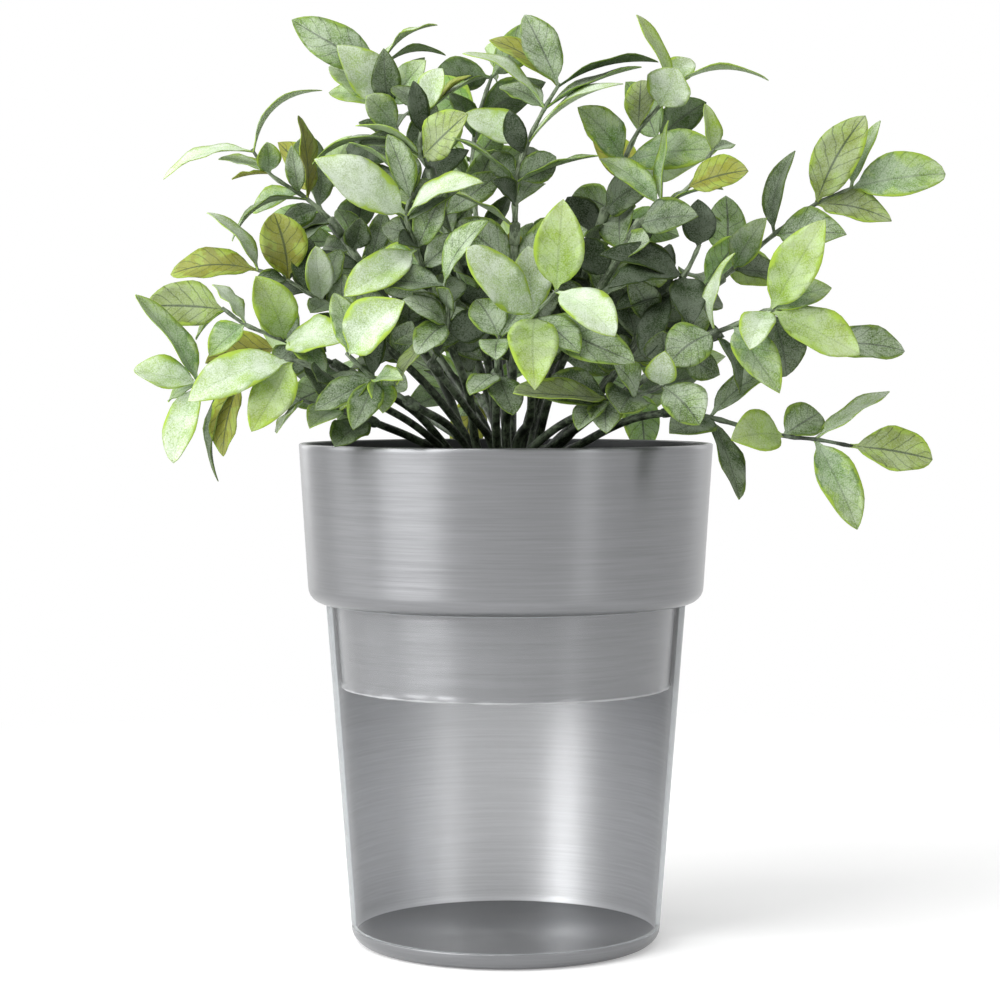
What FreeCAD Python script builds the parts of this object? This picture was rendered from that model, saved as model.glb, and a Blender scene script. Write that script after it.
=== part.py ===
"""Flower pot diversion safe, in millimetres: a two-piece printed pot with an artificial bush.

The lower pot is the hidden compartment. The planter insert stands on its mouth by a
shoulder, with a skirt that reaches down inside, and lifts straight out. A foam plug in
the insert holds the pick of the bush: each wired stem stands in a socket of the pick's
head, and each leafy sprig slips over the peg at a stem's end.
The origin is the middle of the pot's base, +Z is up and the front faces -Y.
"""

import FreeCAD, Part
import os
from math import cos, radians, sin

import Sketcher
from FreeCAD import Vector

doc = FreeCAD.newDocument("flower_pot_safe")

# The driving sizes, in mm
SIZES = (
    ("PotHeight", 102.0, "lower pot, floor to mouth"),
    ("BaseRadius", 46.4, "lower pot, outside at the base"),
    ("MouthRadius", 53.9, "lower pot, outside at the mouth"),
    ("PotWall", 1.7, "lower pot, four printed lines thick"),
    ("PotFloor", 2.4, "lower pot, twelve printed layers"),
    ("PotCorner", 4.7, "round between base and side"),
    ("CollarHeight", 47.5, "planter insert, shoulder to rim"),
    ("RimRadius", 62.0, "planter insert, outside at the rim"),
    ("CollarRadius", 59.3, "planter insert, outside at the shoulder"),
    ("CollarCorner", 4.8, "round between shoulder and collar"),
    ("PlanterWall", 1.7, "planter insert, four printed lines thick"),
    ("PlanterFloor", 2.0, "planter insert, floor and shoulder"),
    ("SkirtGap", 1.1, "room between the skirt and the mouth"),
    ("SkirtDepth", 25.4, "how far the skirt reaches into the pot"),
    ("SkirtTaper", 1.9, "how much narrower the skirt is at its foot"),
    ("FoamDrop", 23.5, "rim down to the top of the foam"),
    ("FoamGap", 0.4, "room around the foam plug"),
    ("StalkRadius", 5.0, "stalk of the pick"),
    ("StalkDepth", 32.0, "how deep the stalk stands in the foam"),
    ("StalkGap", 0.15, "room around the stalk"),
    ("HeadRadius", 14.5, "head of the pick"),
    ("HeadHeight", 11.0, "head of the pick"),
    ("SocketDepth", 8.0, "sockets in the head"),
    ("SocketFit", 0.05, "room around a stem in its socket"),
    ("InnerRing", 3.4, "radius of the inner ring of sockets"),
    ("MiddleRing", 7.3, "radius of the middle ring"),
    ("OuterRing", 11.3, "radius of the outer ring"),
    ("StemRadius", 1.45, "stem at the head"),
    ("StemTipRadius", 1.15, "stem at its far end"),
    ("PegRadius", 0.75, "peg at the stem's end"),
    ("PegLength", 4.0, "peg at the stem's end"),
    ("PegFit", 0.15, "room around the peg in the sleeve"),
    ("SleeveRadius", 1.6, "sleeve of a sprig"),
    ("SleeveLength", 6.0, "sleeve of a sprig"),
    ("TwigRadius", 0.85, "sprig just past its sleeve"),
    ("TwigTipRadius", 0.55, "sprig at its far end"),
    ("LeafThickness", 0.8, "leaf along its midrib"),
    ("LeafFold", 0.22, "rise of a leaf's margins, for 1 of half breadth"),
    ("LeafArch", 0.09, "bow of a leaf, for 1 of its length"),
)

# Counts, and the rim that the bush's layout was drawn for
SOCKET_RINGS = (("InnerRing", 5), ("MiddleRing", 10), ("OuterRing", 13))
ROUND_STEPS = 3
POT_SIDES = 60
FOAM_SIDES = 24
STEM_SIDES = 5
TWIG_SIDES = 4
LAYOUT_RIM = 62.0
SIGHT_DISTANCE = 800.0
EYE_ABOVE_RIM = 19.5

# The bush, branch by branch. Each branch is (ring, slot) of the socket that its stem
# stands in, the bends of the stem, the bends of its sprig, and the sprig's leaves.
# The last bend of a stem is where the sprig's sleeve slips over the stem's peg.
# A leaf is the bend of the sprig that it grows from, where its tip is, its breadth and
# the turn of its blade, and after them how much it arches, where that is unusual.
# Places are in mm from the middle of the rim: across, towards the back, and up. They are
# read square on from the front, at the depth of the pot's middle.
FRONT = (0.0, -0.8, 0.6)
BACK = (0.0, 0.8, 0.6)
BRANCHES = {
    "01": ((1, 4), FRONT,
           [(-12, 4, 0), (-17, 4, 14), (-33, 5, 39), (-49, 6, 62)],
           [(-60, 5, 73.5), (-71.5, 3, 81.5), (-76, 2, 88)],
           [(0, -62, 9, 64, 8, 25), (0, -63, 0, 57, 8, 40),
            (1, -82, 0, 60.5, 10, 60, 0.2), (1, -62, 5, 98, 10, 65),
            (2, -86, 3, 85, 9, 45), (2, -71.5, -3, 90, 7, 10), (2, -82, 6, 79, 7, 60),
            (3, -102.5, 0, 79, 9, 60, 0.14), (3, -55, 1, 105.5, 9, 68, 0.2)]),
    "02": ((1, 5), FRONT,
           [(-11, -1, 0), (-20, -8, 13), (-39, -18, 32)],
           [(-56, -24, 43), (-66, -25, 49), (-75, -23, 52)],
           [(1, -57, -26, 59, 8, 30), (1, -50, -20, 58, 9, 20), (2, -69.5, -28, 69, 13, 0),
            (2, -66, -19, 62, 9, 30), (3, -89.5, -22, 69, 10, 55), (3, -100.5, -22, 50.5, 11, 10)]),
    "03": ((2, 5), FRONT,
           [(-17, -3, -2), (-27, -15, 9), (-47, -27, 21)],
           [(-67, -36, 31), (-79, -36, 36), (-85, -34, 40.5)],
           [(1, -75, -44, 50, 11.5, 0), (1, -48, -52, 31, 14.5, 0), (2, -88, -36, 47.5, 8, 50),
            (2, -89, -38, 26, 9.5, 10), (3, -108.5, -36, 46, 13.5, 0), (3, -93, -30, 31, 7, 50)]),
    "04": ((2, 7), FRONT,
           [(-17, -10, -4), (-27, -24, 5), (-45, -42, 15)],
           [(-65, -54, 25), (-80, -50, 19.5), (-93, -46, 17.5)],
           [(1, -95.5, -62, 12.5, 12.5, 0), (1, -76.5, -64, 3.5, 11, 0), (2, -85, -50, -4, 9, 35),
            (2, -86.5, -42, -11.5, 8, 60, 0.15), (3, -111.5, -44, 44.5, 9, 40),
            (3, -112, -48, 22, 10.5, 10), (3, -101, -40, 13, 9.5, 25), (3, -100, -52, -6, 9.5, 20)]),
    "05": ((2, 6), FRONT,
           [(-16, -6, -5), (-27, -15, 1), (-39, -32, 6)],
           [(-51, -41, 10), (-62, -43, 13)],
           [(0, -51.5, -52, -1, 10, 10), (0, -55, -28, 15, 10, 20), (1, -33, -60, 17, 7, 20),
            (1, -59, -54, 4.5, 9, 20), (2, -69.5, -38, 9, 8, 30), (2, -69, -50, 3, 7, 60)]),
    "06": ((0, 2), FRONT,
           [(-3, -1, 4), (-7, -5, 20), (-20, -11, 52), (-27, -14, 76)],
           [(-32, -14, 91), (-35, -13, 101.5), (-38, -12, 113)],
           [(1, -44, -10, 96, 9, 30), (2, -50.5, -18, 119, 12, 0), (2, -53, -7, 112.5, 10, 10),
            (2, -36.5, -22, 118, 8, 10), (2, -24, -19, 114.5, 10, 5),
            (3, -64, -14, 126.5, 9.5, 20), (3, -20.5, -12, 125, 9, 60, 0.15),
            (3, -18, -5, 116, 8, 65, 0.15)]),
    "07": ((0, 3), FRONT,
           [(-3, -4, 4), (-5, -13, 22), (-15, -25, 55), (-21, -29, 76)],
           [(-25.5, -34, 86), (-23.5, -30, 100)],
           [(1, -11.5, -46, 98.5, 13.5, 0), (1, -45, -38, 95, 9, 65, 0.12), (1, -58, -30, 83.5, 9, 60, 0.2),
            (2, -19, -35, 112, 8.5, 20), (2, -10.5, -28, 110, 8, 55), (2, -6.5, -21, 109.5, 8, 55),
            (2, -34, -24, 106.5, 9, 20)]),
    "08": ((1, 6), FRONT,
           [(-9, -8, 0), (-11, -22, 14), (-20, -41, 37)],
           [(-27, -54, 59), (-30, -58, 69), (-28, -56, 75)],
           [(1, -48.5, -67, 44, 11, 0), (1, -18, -60, 76, 9, 10), (2, -57.5, -68, 85, 16, 0),
            (2, -7, -68, 78, 10, 35, 0.12), (3, -47, -52, 90, 8, 65), (3, -32, -46, 88, 8, 20)]),
    "09": ((1, 7), FRONT,
           [(-4, -11, -1), (-10, -26, 8), (-20, -48, 21)],
           [(-17.5, -60, 36), (-18.5, -64, 48)],
           [(2, -40, -57, 49, 10, 15), (2, -5.5, -73, 66.5, 9, 30, 0.15),
            (1, -27, -74, 26.5, 8, 10), (1, -33, -66, 17.5, 8, 50), (1, -31, -66, 43, 8, 20)]),
    "10": ((2, 8), FRONT,
           [(-10, -14, -5), (-16, -28, 4), (-27, -49, 11)],
           [(-40, -60, 19.5), (-48, -64, 27)],
           [(2, -30.5, -74, 42.5, 14.5, 0), (1, -37, -66, 9, 8, 20), (1, -31, -72, 19, 6, 10),
            (2, -57, -60, 36, 8, 20), (1, -46, -74, 4, 9, 10)]),
    "11": ((0, 4), FRONT,
           [(0, -6, 4), (2, -19, 19), (2, -31, 43), (2.5, -36, 59.5)],
           [(3, -38, 79), (7, -36, 91), (12, -34, 101), (16, -32, 107.5)],
           [(0, -16, -46, 75, 8, 60), (1, -16, -48, 91.5, 8, 58), (1, 27.5, -48, 86, 8, 58),
            (2, -12.5, -30, 98.5, 10, 10), (2, 35, -40, 107.5, 9, 55),
            (3, -13, -38, 116.5, 9, 45, 0.12), (3, 40.5, -30, 112.5, 9, 55), (3, -2, -26, 106.5, 8, 20),
            (4, 5.5, -34, 128, 10.5, 5), (4, -5, -26, 120.5, 8.5, 20), (4, 45.5, -24, 114, 8, 66)]),
    "12": ((0, 0), FRONT,
           [(6, -1, 4), (11, -8, 20), (21, -14, 43), (28, -18, 64)],
           [(35.5, -18, 85), (40, -18, 94), (46, -18, 101), (50, -18, 107.5)],
           [(0, 45.5, -30, 79, 12, 10), (1, 21.5, -26, 100.5, 11, 10), (1, 63.5, -29, 88, 13, 0),
            (2, 40.5, -12, 108.5, 9, 20), (3, 50, -36, 107, 14, 0),
            (4, 39, -16, 128, 8, 45), (4, 55, -12, 115, 9, 10), (4, 78.5, -20, 108.5, 9, 60, 0.15)]),
    "13": ((1, 0), FRONT,
           [(10, -4, 2), (14, -17, 17), (28, -31, 46), (37, -36, 61)],
           [(47, -36, 71), (55, -34, 77), (62, -32, 88)],
           [(0, 57.5, -47, 68, 11.5, 5), (1, 64.5, -34, 66.5, 7, 60), (1, 48.5, -28, 96.5, 7, 50),
            (1, 65, -27, 76, 6, 60), (1, 28, -28, 85, 9, 20), (2, 72.5, -40, 81.5, 12, 5),
            (3, 59.5, -30, 101.5, 7, 40), (3, 68, -26, 89.5, 6, 20)]),
    "14": ((1, 8), FRONT,
           [(3, -11, -1), (7, -29, 7), (7, -54, 25)],
           [(9, -68, 38.5), (15.5, -72, 46)],
           [(2, 17, -80, 73, 13.5, 0), (2, 32.5, -85, 32, 11.5, 0), (1, 38.5, -76, 24, 12.5, 0),
            (1, -12, -79, 58.5, 12.5, 0), (1, 6.5, -68, 59, 11, 15),
            (1, 8.5, -90, 16, 14, 0), (1, 22, -80, 27, 10, 20)]),
    "15": ((2, 9), FRONT,
           [(-3, -17, -5), (-3, -33, 4), (-3, -58, 18)],
           [(-2, -70, 32)],
           [(1, 10, -57, 47, 11, 10), (1, -9, -63, 43, 10, 10), (0, 2, -72, 8.5, 9, 10),
            (0, -11, -74, 14.5, 8, 20), (1, -3, -85, 25, 8, 10)]),
    "16": ((1, 9), FRONT,
           [(9, -7, -3), (15, -13, -1), (27.5, -25, 14), (39, -34, 30), (46.5, -38, 41)],
           [(53.5, -40, 50.5), (58, -40, 59.5)],
           [(1, 28, -46, 56.5, 9, 10), (1, 30.5, -52, 46.5, 9, 20), (2, 57.5, -44, 73, 9, 10),
            (1, 55, -52, 35, 9.5, 10), (0, 33, -44, 40, 7, 20), (0, 41.5, -48, 25.5, 8.5, 20)]),
    "17": ((2, 0), FRONT,
           [(15, -1, -2), (26, -5, 13), (43, -9, 34), (60, -12, 46)],
           [(68.5, -12, 52.5), (81, -14, 63), (93.5, -14, 72), (104, -14, 76.5)],
           [(1, 78, -19, 67.5, 9.5, 10), (1, 82.5, -5, 50.5, 11, 10), (2, 86.5, -12, 87.5, 9, 20),
            (2, 102, -22, 62.5, 13, 5), (3, 107.5, -19, 98, 13.5, 0), (3, 115.5, -20, 66.5, 10.5, 10),
            (4, 132, -17, 80.5, 13, 0), (4, 112, -8, 96.5, 8, 50)]),
    "18": ((2, 11), FRONT,
           [(10, -12, -5), (22, -25, 5), (43, -44, 20.5), (58, -50, 30)],
           [(69, -52, 35.5), (80, -54, 40), (93, -48, 28.5)],
           [(0, 68.5, -52, 57, 7, 66, 0.15), (0, 48.5, -59, 23.5, 12, 5), (0, 70, -44, 15, 7, 40),
            (1, 82, -63, 15, 11, 5), (2, 73, -67, 28, 9, 10), (2, 95.5, -65, 67, 14, 0),
            (2, 97.5, -49, 46.5, 9.5, 15), (2, 106, -63, 26.5, 11.5, 0), (2, 84, -47, 20, 13, 10),
            (3, 119.5, -46, 27.5, 10, 5)]),
    "19": ((2, 12), FRONT,
           [(15, -7, -5), (23, -18, 0), (41, -33, 8), (47, -36, 9)],
           [(62, -42, 7.5), (84, -44, 2), (93.5, -44, 1), (104, -44, -1)],
           [(1, 84, -38, 24, 8.5, 35), (1, 70, -54, -17, 8.5, 30), (1, 49, -54, 3, 12, 5),
            (2, 67.5, -56, 1, 12, 5), (2, 94, -36, 9, 11, 5), (3, 115, -40, 15.5, 8.5, 45),
            (3, 105.5, -50, -26, 10.5, 5), (4, 128, -46, -5, 14, 0)]),
    "20": ((2, 10), FRONT,
           [(5, -16, -5), (13, -31, 3), (28, -54, 11.5)],
           [(40, -62, 14.5), (47.5, -64, 17.5)],
           [(0, 9.5, -66, 14.5, 12, 10), (0, 30, -70, 3, 9, 10), (0, 21.5, -70, 4, 8, 20),
            (1, 32, -70, 24, 9, 10), (1, 34, -74, 9, 12, 10), (2, 47.5, -72, 27.5, 8, 10),
            (2, 58, -70, 5.5, 12, 10), (0, 2, -78, 15, 8, 30)]),
    "21": ((1, 3), BACK,
           [(-5, 12, 2), (-16, 24, 20), (-30, 36, 40)],
           [(-44, 47, 54), (-52, 53, 64), (-58, 55, 76)],
           [(1, -62, 54, 46, 11, 10), (1, -34, 62, 60, 11, 0), (2, -72, 60, 66, 12, 0),
            (2, -38, 62, 74, 11, 10), (3, -68, 64, 90, 12, 5), (3, -46, 60, 92, 10, 10),
            (3, -60, 42, 92, 10, 20)]),
    "22": ((2, 4), BACK,
           [(-8, 17, -4), (-22, 33, 7), (-34, 45, 14)],
           [(-48, 57, 20), (-60, 63, 23), (-68, 66, 29)],
           [(1, -42, 76, 26, 11, 0), (1, -64, 52, 12, 11, 10), (2, -56, 82, 14, 12, 0),
            (2, -74, 60, 38, 10, 10), (3, -90, 68, 24, 12, 0), (3, -74, 80, 46, 12, 10)]),
    "23": ((0, 1), BACK,
           [(0, 7, 4), (-3, 18, 30), (-8, 30, 62)],
           [(-10, 38, 82), (-8, 43, 98), (-4, 45, 110)],
           [(1, -32, 44, 90, 12, 0), (1, 10, 50, 84, 12, 0), (2, -28, 52, 106, 12, 5),
            (2, 12, 48, 108, 11, 10), (3, -18, 50, 126, 11, 10), (3, 10, 44, 126, 10, 20),
            (3, -6, 60, 118, 11, 0)]),
    "24": ((1, 2), BACK,
           [(2, 12, 2), (2, 27, 16), (0, 46, 34)],
           [(3, 62, 46), (5, 74, 56)],
           [(1, -18, 72, 44, 12, 0), (1, 24, 70, 50, 12, 0), (2, -12, 86, 64, 13, 0),
            (2, 24, 88, 66, 12, 5), (2, 6, 92, 44, 12, 0), (1, 2, 54, 64, 11, 20)]),
    "25": ((1, 1), BACK,
           [(8, 9, 3), (16, 19, 28), (25, 30, 52)],
           [(34, 38, 68), (40, 43, 80), (46, 45, 91)],
           [(1, 52, 38, 62, 11, 10), (1, 20, 50, 74, 12, 0), (2, 58, 52, 84, 12, 5),
            (2, 26, 54, 92, 11, 10), (3, 60, 48, 102, 11, 5), (3, 36, 54, 108, 12, 0)]),
    "26": ((2, 1), BACK,
           [(15, 10, -3), (26, 25, 12), (37, 40, 30)],
           [(50, 53, 41), (60, 60, 48), (66, 62, 56)],
           [(1, 34, 66, 46, 12, 0), (1, 60, 46, 32, 11, 10), (2, 56, 82, 50, 12, 0),
            (2, 70, 52, 62, 10, 10), (3, 82, 66, 48, 12, 0), (3, 66, 72, 74, 12, 5)]),
    "27": ((2, 2), BACK,
           [(11, 15, -4), (21, 31, 6), (31, 47, 12)],
           [(40, 63, 16), (47, 74, 17)],
           [(1, 20, 74, 22, 12, 0), (1, 58, 62, 20, 11, 5), (2, 40, 94, 8, 12, 0),
            (2, 66, 80, 26, 12, 5), (2, 44, 84, 36, 11, 10), (1, 42, 72, -4, 11, 10)]),
    "28": ((2, 3), BACK,
           [(1, 18, -4), (-3, 35, 5), (-6, 50, 11)],
           [(-10, 66, 16), (-12, 78, 18)],
           [(1, -30, 70, 26, 12, 0), (1, 8, 78, 22, 12, 0), (2, -30, 92, 10, 12, 0),
            (2, -6, 98, 24, 12, 0), (2, -14, 88, 38, 11, 10), (1, -14, 76, -6, 11, 5)]),
}


# The sheet and the tools that read it

def make_sheet():
    """The spreadsheet that every sub-part takes its sizes from."""
    made = doc.addObject("Spreadsheet::Sheet", "Sizes")
    for row, (alias, number, meaning) in enumerate(SIZES, start=1):
        made.set(f"A{row}", meaning)
        made.set(f"B{row}", str(number))
        made.setAlias(f"B{row}", alias)
    doc.recompute()
    return made


sheet = make_sheet()


def value(expression):
    """What an expression such as "Sizes.PotHeight - Sizes.PotWall" comes to."""
    return float(sheet.evalExpression(expression))


# Turned sub-parts: closed outlines of (radius, height), spun about Z

def new_body(label):
    body = doc.addObject("PartDesign::Body", label)
    body.Label = label
    return body


def origin_plane(body, role):
    return next(plane for plane in body.Origin.OriginFeatures if plane.Role == role)


def pin_corner(sketch, line, across, up):
    """Ties the start of a sketch line to the sheet, by its distances from the origin."""
    for kind, on_axis, expression in (("DistanceX", -2, across), ("DistanceY", -1, up)):
        if expression == "0":
            sketch.addConstraint(Sketcher.Constraint("PointOnObject", line, 1, on_axis))
            continue
        index = sketch.addConstraint(Sketcher.Constraint(kind, -1, 1, line, 1, value(expression)))
        sketch.setExpression(f"Constraints[{index}]", expression)


def draw_outline(sketch, corners):
    points = [Vector(value(across), value(up), 0) for across, up in corners]
    count = len(points)
    for k in range(count):
        sketch.addGeometry(Part.LineSegment(points[k], points[(k + 1) % count]))
    for k in range(count):
        sketch.addConstraint(Sketcher.Constraint("Coincident", k, 2, (k + 1) % count, 1))
    for k, (across, up) in enumerate(corners):
        pin_corner(sketch, k, across, up)


def turned_body(label, corners):
    """A body of revolution with the given outline."""
    body = new_body(label)
    sketch = body.newObject("Sketcher::SketchObject", label + "_outline")
    sketch.AttachmentSupport = [(origin_plane(body, "XZ_Plane"), "")]
    sketch.MapMode = "FlatFace"
    draw_outline(sketch, corners)
    doc.recompute()
    spin = body.newObject("PartDesign::Revolution", label + "_spin")
    spin.Profile = sketch
    spin.ReferenceAxis = (sketch, ["V_Axis"])
    spin.Angle = 360
    doc.recompute()
    return body


# Lofted sub-parts: many-sided rings about Z, each (radius, height), joined from the bottom up

def ring(label, sides, radius, height):
    polygon = doc.addObject("Part::RegularPolygon", label)
    polygon.Polygon = sides
    polygon.setExpression("Circumradius", radius)
    polygon.setExpression("Placement.Base.z", height)
    return polygon


def loft(label, sides, outline):
    """A solid with straight sides from ring to ring."""
    made = doc.addObject("Part::Loft", label)
    made.Sections = [ring(f"{label}_ring_{k}", sides, *spot) for k, spot in enumerate(outline, start=1)]
    made.Solid = True
    made.Ruled = True
    return made


def combined(kind, label, first, second):
    """first and second as one: Part::Fuse joins them, Part::Cut takes the second away."""
    made = doc.addObject(kind, label)
    made.Base = first
    made.Tool = second
    return made


def round_corner(across, up, radius):
    """Rings of a round between a level face, at this height, and a side, out at this radius."""
    turns = [radians(90 * k / ROUND_STEPS) for k in range(ROUND_STEPS + 1)]
    return [(f"{across} - {radius} * {1 - sin(turn):.9f}", f"{up} + {radius} * {1 - cos(turn):.9f}")
            for turn in turns]


# The lower pot: the hidden compartment, open at the top

POT_TAPER = "(Sizes.MouthRadius - Sizes.BaseRadius) / Sizes.PotHeight"
MOUTH_INNER = "Sizes.MouthRadius - Sizes.PotWall"


def make_lower_pot():
    outside = loft("lower_pot_outside", POT_SIDES, [
        *round_corner("Sizes.BaseRadius", "0", "Sizes.PotCorner"),
        ("Sizes.MouthRadius", "Sizes.PotHeight"),
    ])
    compartment = loft("lower_pot_compartment", POT_SIDES, [
        (f"Sizes.BaseRadius + {POT_TAPER} * Sizes.PotFloor - Sizes.PotWall", "Sizes.PotFloor"),
        (MOUTH_INNER, "Sizes.PotHeight"),
    ])
    return combined("Part::Cut", "lower_pot", outside, compartment)


# The planter insert: collar, shoulder, skirt and floor in one printed piece

SKIRT_RADIUS = f"{MOUTH_INNER} - Sizes.SkirtGap"
SKIRT_FOOT = "Sizes.PotHeight - Sizes.SkirtDepth"
RIM_HEIGHT = "Sizes.PotHeight + Sizes.CollarHeight"
SHOULDER_TOP = "Sizes.PotHeight + Sizes.PlanterFloor"
PLANTER_BED = f"{SKIRT_FOOT} + Sizes.PlanterFloor"
COLLAR_LEAN = "(Sizes.RimRadius - Sizes.CollarRadius) / Sizes.CollarHeight"
SKIRT_LEAN = "Sizes.SkirtTaper / Sizes.SkirtDepth"
IN_COLLAR = f"Sizes.CollarRadius + {COLLAR_LEAN} * Sizes.PlanterFloor - Sizes.PlanterWall"
IN_SKIRT = f"{SKIRT_RADIUS} - Sizes.SkirtTaper + {SKIRT_LEAN} * Sizes.PlanterFloor - Sizes.PlanterWall"


def make_planter_insert():
    skirt = loft("planter_skirt", POT_SIDES, [
        (f"{SKIRT_RADIUS} - Sizes.SkirtTaper", SKIRT_FOOT),
        (SKIRT_RADIUS, "Sizes.PotHeight"),
    ])
    collar = loft("planter_collar", POT_SIDES, [
        *round_corner("Sizes.CollarRadius", "Sizes.PotHeight", "Sizes.CollarCorner"),
        ("Sizes.RimRadius", RIM_HEIGHT),
    ])
    in_skirt = loft("planter_inside_skirt", POT_SIDES, [
        (IN_SKIRT, PLANTER_BED),
        (f"{SKIRT_RADIUS} - Sizes.PlanterWall", SHOULDER_TOP),
    ])
    in_collar = loft("planter_inside_collar", POT_SIDES, [
        (IN_COLLAR, SHOULDER_TOP),
        ("Sizes.RimRadius - Sizes.PlanterWall", RIM_HEIGHT),
    ])
    outside = combined("Part::Fuse", "planter_outside", skirt, collar)
    inside = combined("Part::Fuse", "planter_inside", in_skirt, in_collar)
    return combined("Part::Cut", "planter_insert", outside, inside)


# The foam plug: cut to shape with a knife, so it has flat sides, and bored for the stalk

FOAM_TOP = f"{RIM_HEIGHT} - Sizes.FoamDrop"
STALK_FOOT = f"{FOAM_TOP} - Sizes.StalkDepth"


def make_foam_plug():
    foot = loft("foam_foot", FOAM_SIDES, [
        (f"{IN_SKIRT} - Sizes.FoamGap", PLANTER_BED),
        (f"{IN_SKIRT} - Sizes.FoamGap", SHOULDER_TOP),
    ])
    crown = loft("foam_crown", FOAM_SIDES, [
        (f"{IN_COLLAR} - Sizes.FoamGap", SHOULDER_TOP),
        (f"{IN_COLLAR} - Sizes.FoamGap", FOAM_TOP),
    ])
    bore = doc.addObject("Part::Cylinder", "foam_bore")
    bore.setExpression("Radius", "Sizes.StalkRadius + Sizes.StalkGap")
    bore.setExpression("Height", "Sizes.StalkDepth")
    bore.setExpression("Placement.Base.z", STALK_FOOT)
    solid = combined("Part::Fuse", "foam_solid", foot, crown)
    return combined("Part::Cut", "foam_plug", solid, bore)


# The pick: a stalk that stands in the foam, and a head with three rings of sockets

HEAD_TOP = f"{FOAM_TOP} + Sizes.HeadHeight"
SOCKET_BOTTOM = f"{HEAD_TOP} - Sizes.SocketDepth"


def cut_socket_ring(body, ring, count):
    """One socket with a stem's flat sides in the head's top, repeated around the ring."""
    sketch = body.newObject("Sketcher::SketchObject", ring + "_socket")
    sketch.AttachmentSupport = [(origin_plane(body, "XY_Plane"), "")]
    sketch.MapMode = "FlatFace"
    sketch.setExpression("AttachmentOffset.Base.z", HEAD_TOP)
    corners = []
    for k in range(STEM_SIDES):
        angle = radians(360 * k / STEM_SIDES)
        across = f"Sizes.{ring} + (Sizes.StemRadius + Sizes.SocketFit) * {cos(angle):.9f}"
        up = f"(Sizes.StemRadius + Sizes.SocketFit) * {sin(angle):.9f}"
        corners.append((across, up if k else "0"))
    draw_outline(sketch, corners)
    doc.recompute()
    before = body.Tip.Shape.Volume
    pocket = body.newObject("PartDesign::Pocket", ring + "_pocket")
    pocket.Profile = sketch
    pocket.setExpression("Length", "Sizes.SocketDepth")
    pocket.Reversed = False
    doc.recompute()
    if pocket.Shape.Volume > before - 1:
        raise ValueError(f"the sockets of {ring} point away from the head")
    pattern = body.newObject("PartDesign::PolarPattern", ring + "_pattern")
    pattern.Originals = [pocket]
    pattern.Axis = (sketch, ["N_Axis"])
    pattern.Angle = 360
    pattern.Occurrences = count
    body.Tip = pattern
    doc.recompute()


def make_bush_pick():
    body = turned_body("bush_pick", [
        ("0", STALK_FOOT),
        ("Sizes.StalkRadius", STALK_FOOT),
        ("Sizes.StalkRadius", FOAM_TOP),
        ("Sizes.HeadRadius", FOAM_TOP),
        ("Sizes.HeadRadius", HEAD_TOP),
        ("0", HEAD_TOP),
    ])
    for ring, count in SOCKET_RINGS:
        cut_socket_ring(body, ring, count)
    return body


# Rods: stems and twigs as facetted, tapering bars with a ring of corners at each bend

def turned_along(side, old, new):
    """The side vector of a ring, carried without twist from one direction to the next."""
    carried = side - new * side.dot(new)
    return carried.normalize() if carried.Length > 0.01 else new.cross(old).normalize()


def run_directions(points):
    """The direction of travel at each point: along its run, or between its two runs."""
    runs = []
    for k in range(len(points) - 1):
        run = points[k + 1] - points[k]
        runs.append(run.normalize() if run.Length > 0.001 else runs[-1])
    return [runs[0]] + [(runs[k - 1] + runs[k]).normalize() for k in range(1, len(runs))] + [runs[-1]]


def solid_of(faces):
    """A closed solid of flat faces, each a list of corners."""
    shell = Part.makeShell([Part.Face(Part.makePolygon(corners + corners[:1])) for corners in faces])
    shell.sewShape()
    solid = Part.makeSolid(shell)
    if solid.Volume < 0:
        solid.reverse()
    return solid


def rod(points, radii, sides, side):
    """A bar through the points, with a radius at each; side aims the first ring's corner."""
    rings = []
    old = None
    for point, radius, along in zip(points, radii, run_directions(points)):
        side = turned_along(side, old, along)
        old = along
        other = along.cross(side)
        rings.append([point + (side * cos(radians(360 * k / sides))
                               + other * sin(radians(360 * k / sides))) * radius
                      for k in range(sides)])
    faces = [rings[0][::-1], rings[-1]]
    for low, high in zip(rings, rings[1:]):
        for k in range(sides):
            m = (k + 1) % sides
            faces.append([low[k], low[m], high[k]])
            faces.append([low[m], high[m], high[k]])
    return solid_of(faces), side


# Leaves: thin blades with sharp margins, thickest along the midrib

LEAF_STATIONS = ((0.3, 0.92), (0.64, 0.86))


def place(spot):
    """A spot of the layout in the part's frame, carried along the line of sight to its depth."""
    across, deep, up = spot
    nearness = 1 + deep / SIGHT_DISTANCE
    spread = value("Sizes.RimRadius") / LAYOUT_RIM
    seen_up = EYE_ABOVE_RIM + (up - EYE_ABOVE_RIM) * nearness
    return Vector(across * nearness * spread, deep * spread, value(RIM_HEIGHT) + seen_up * spread)


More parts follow.
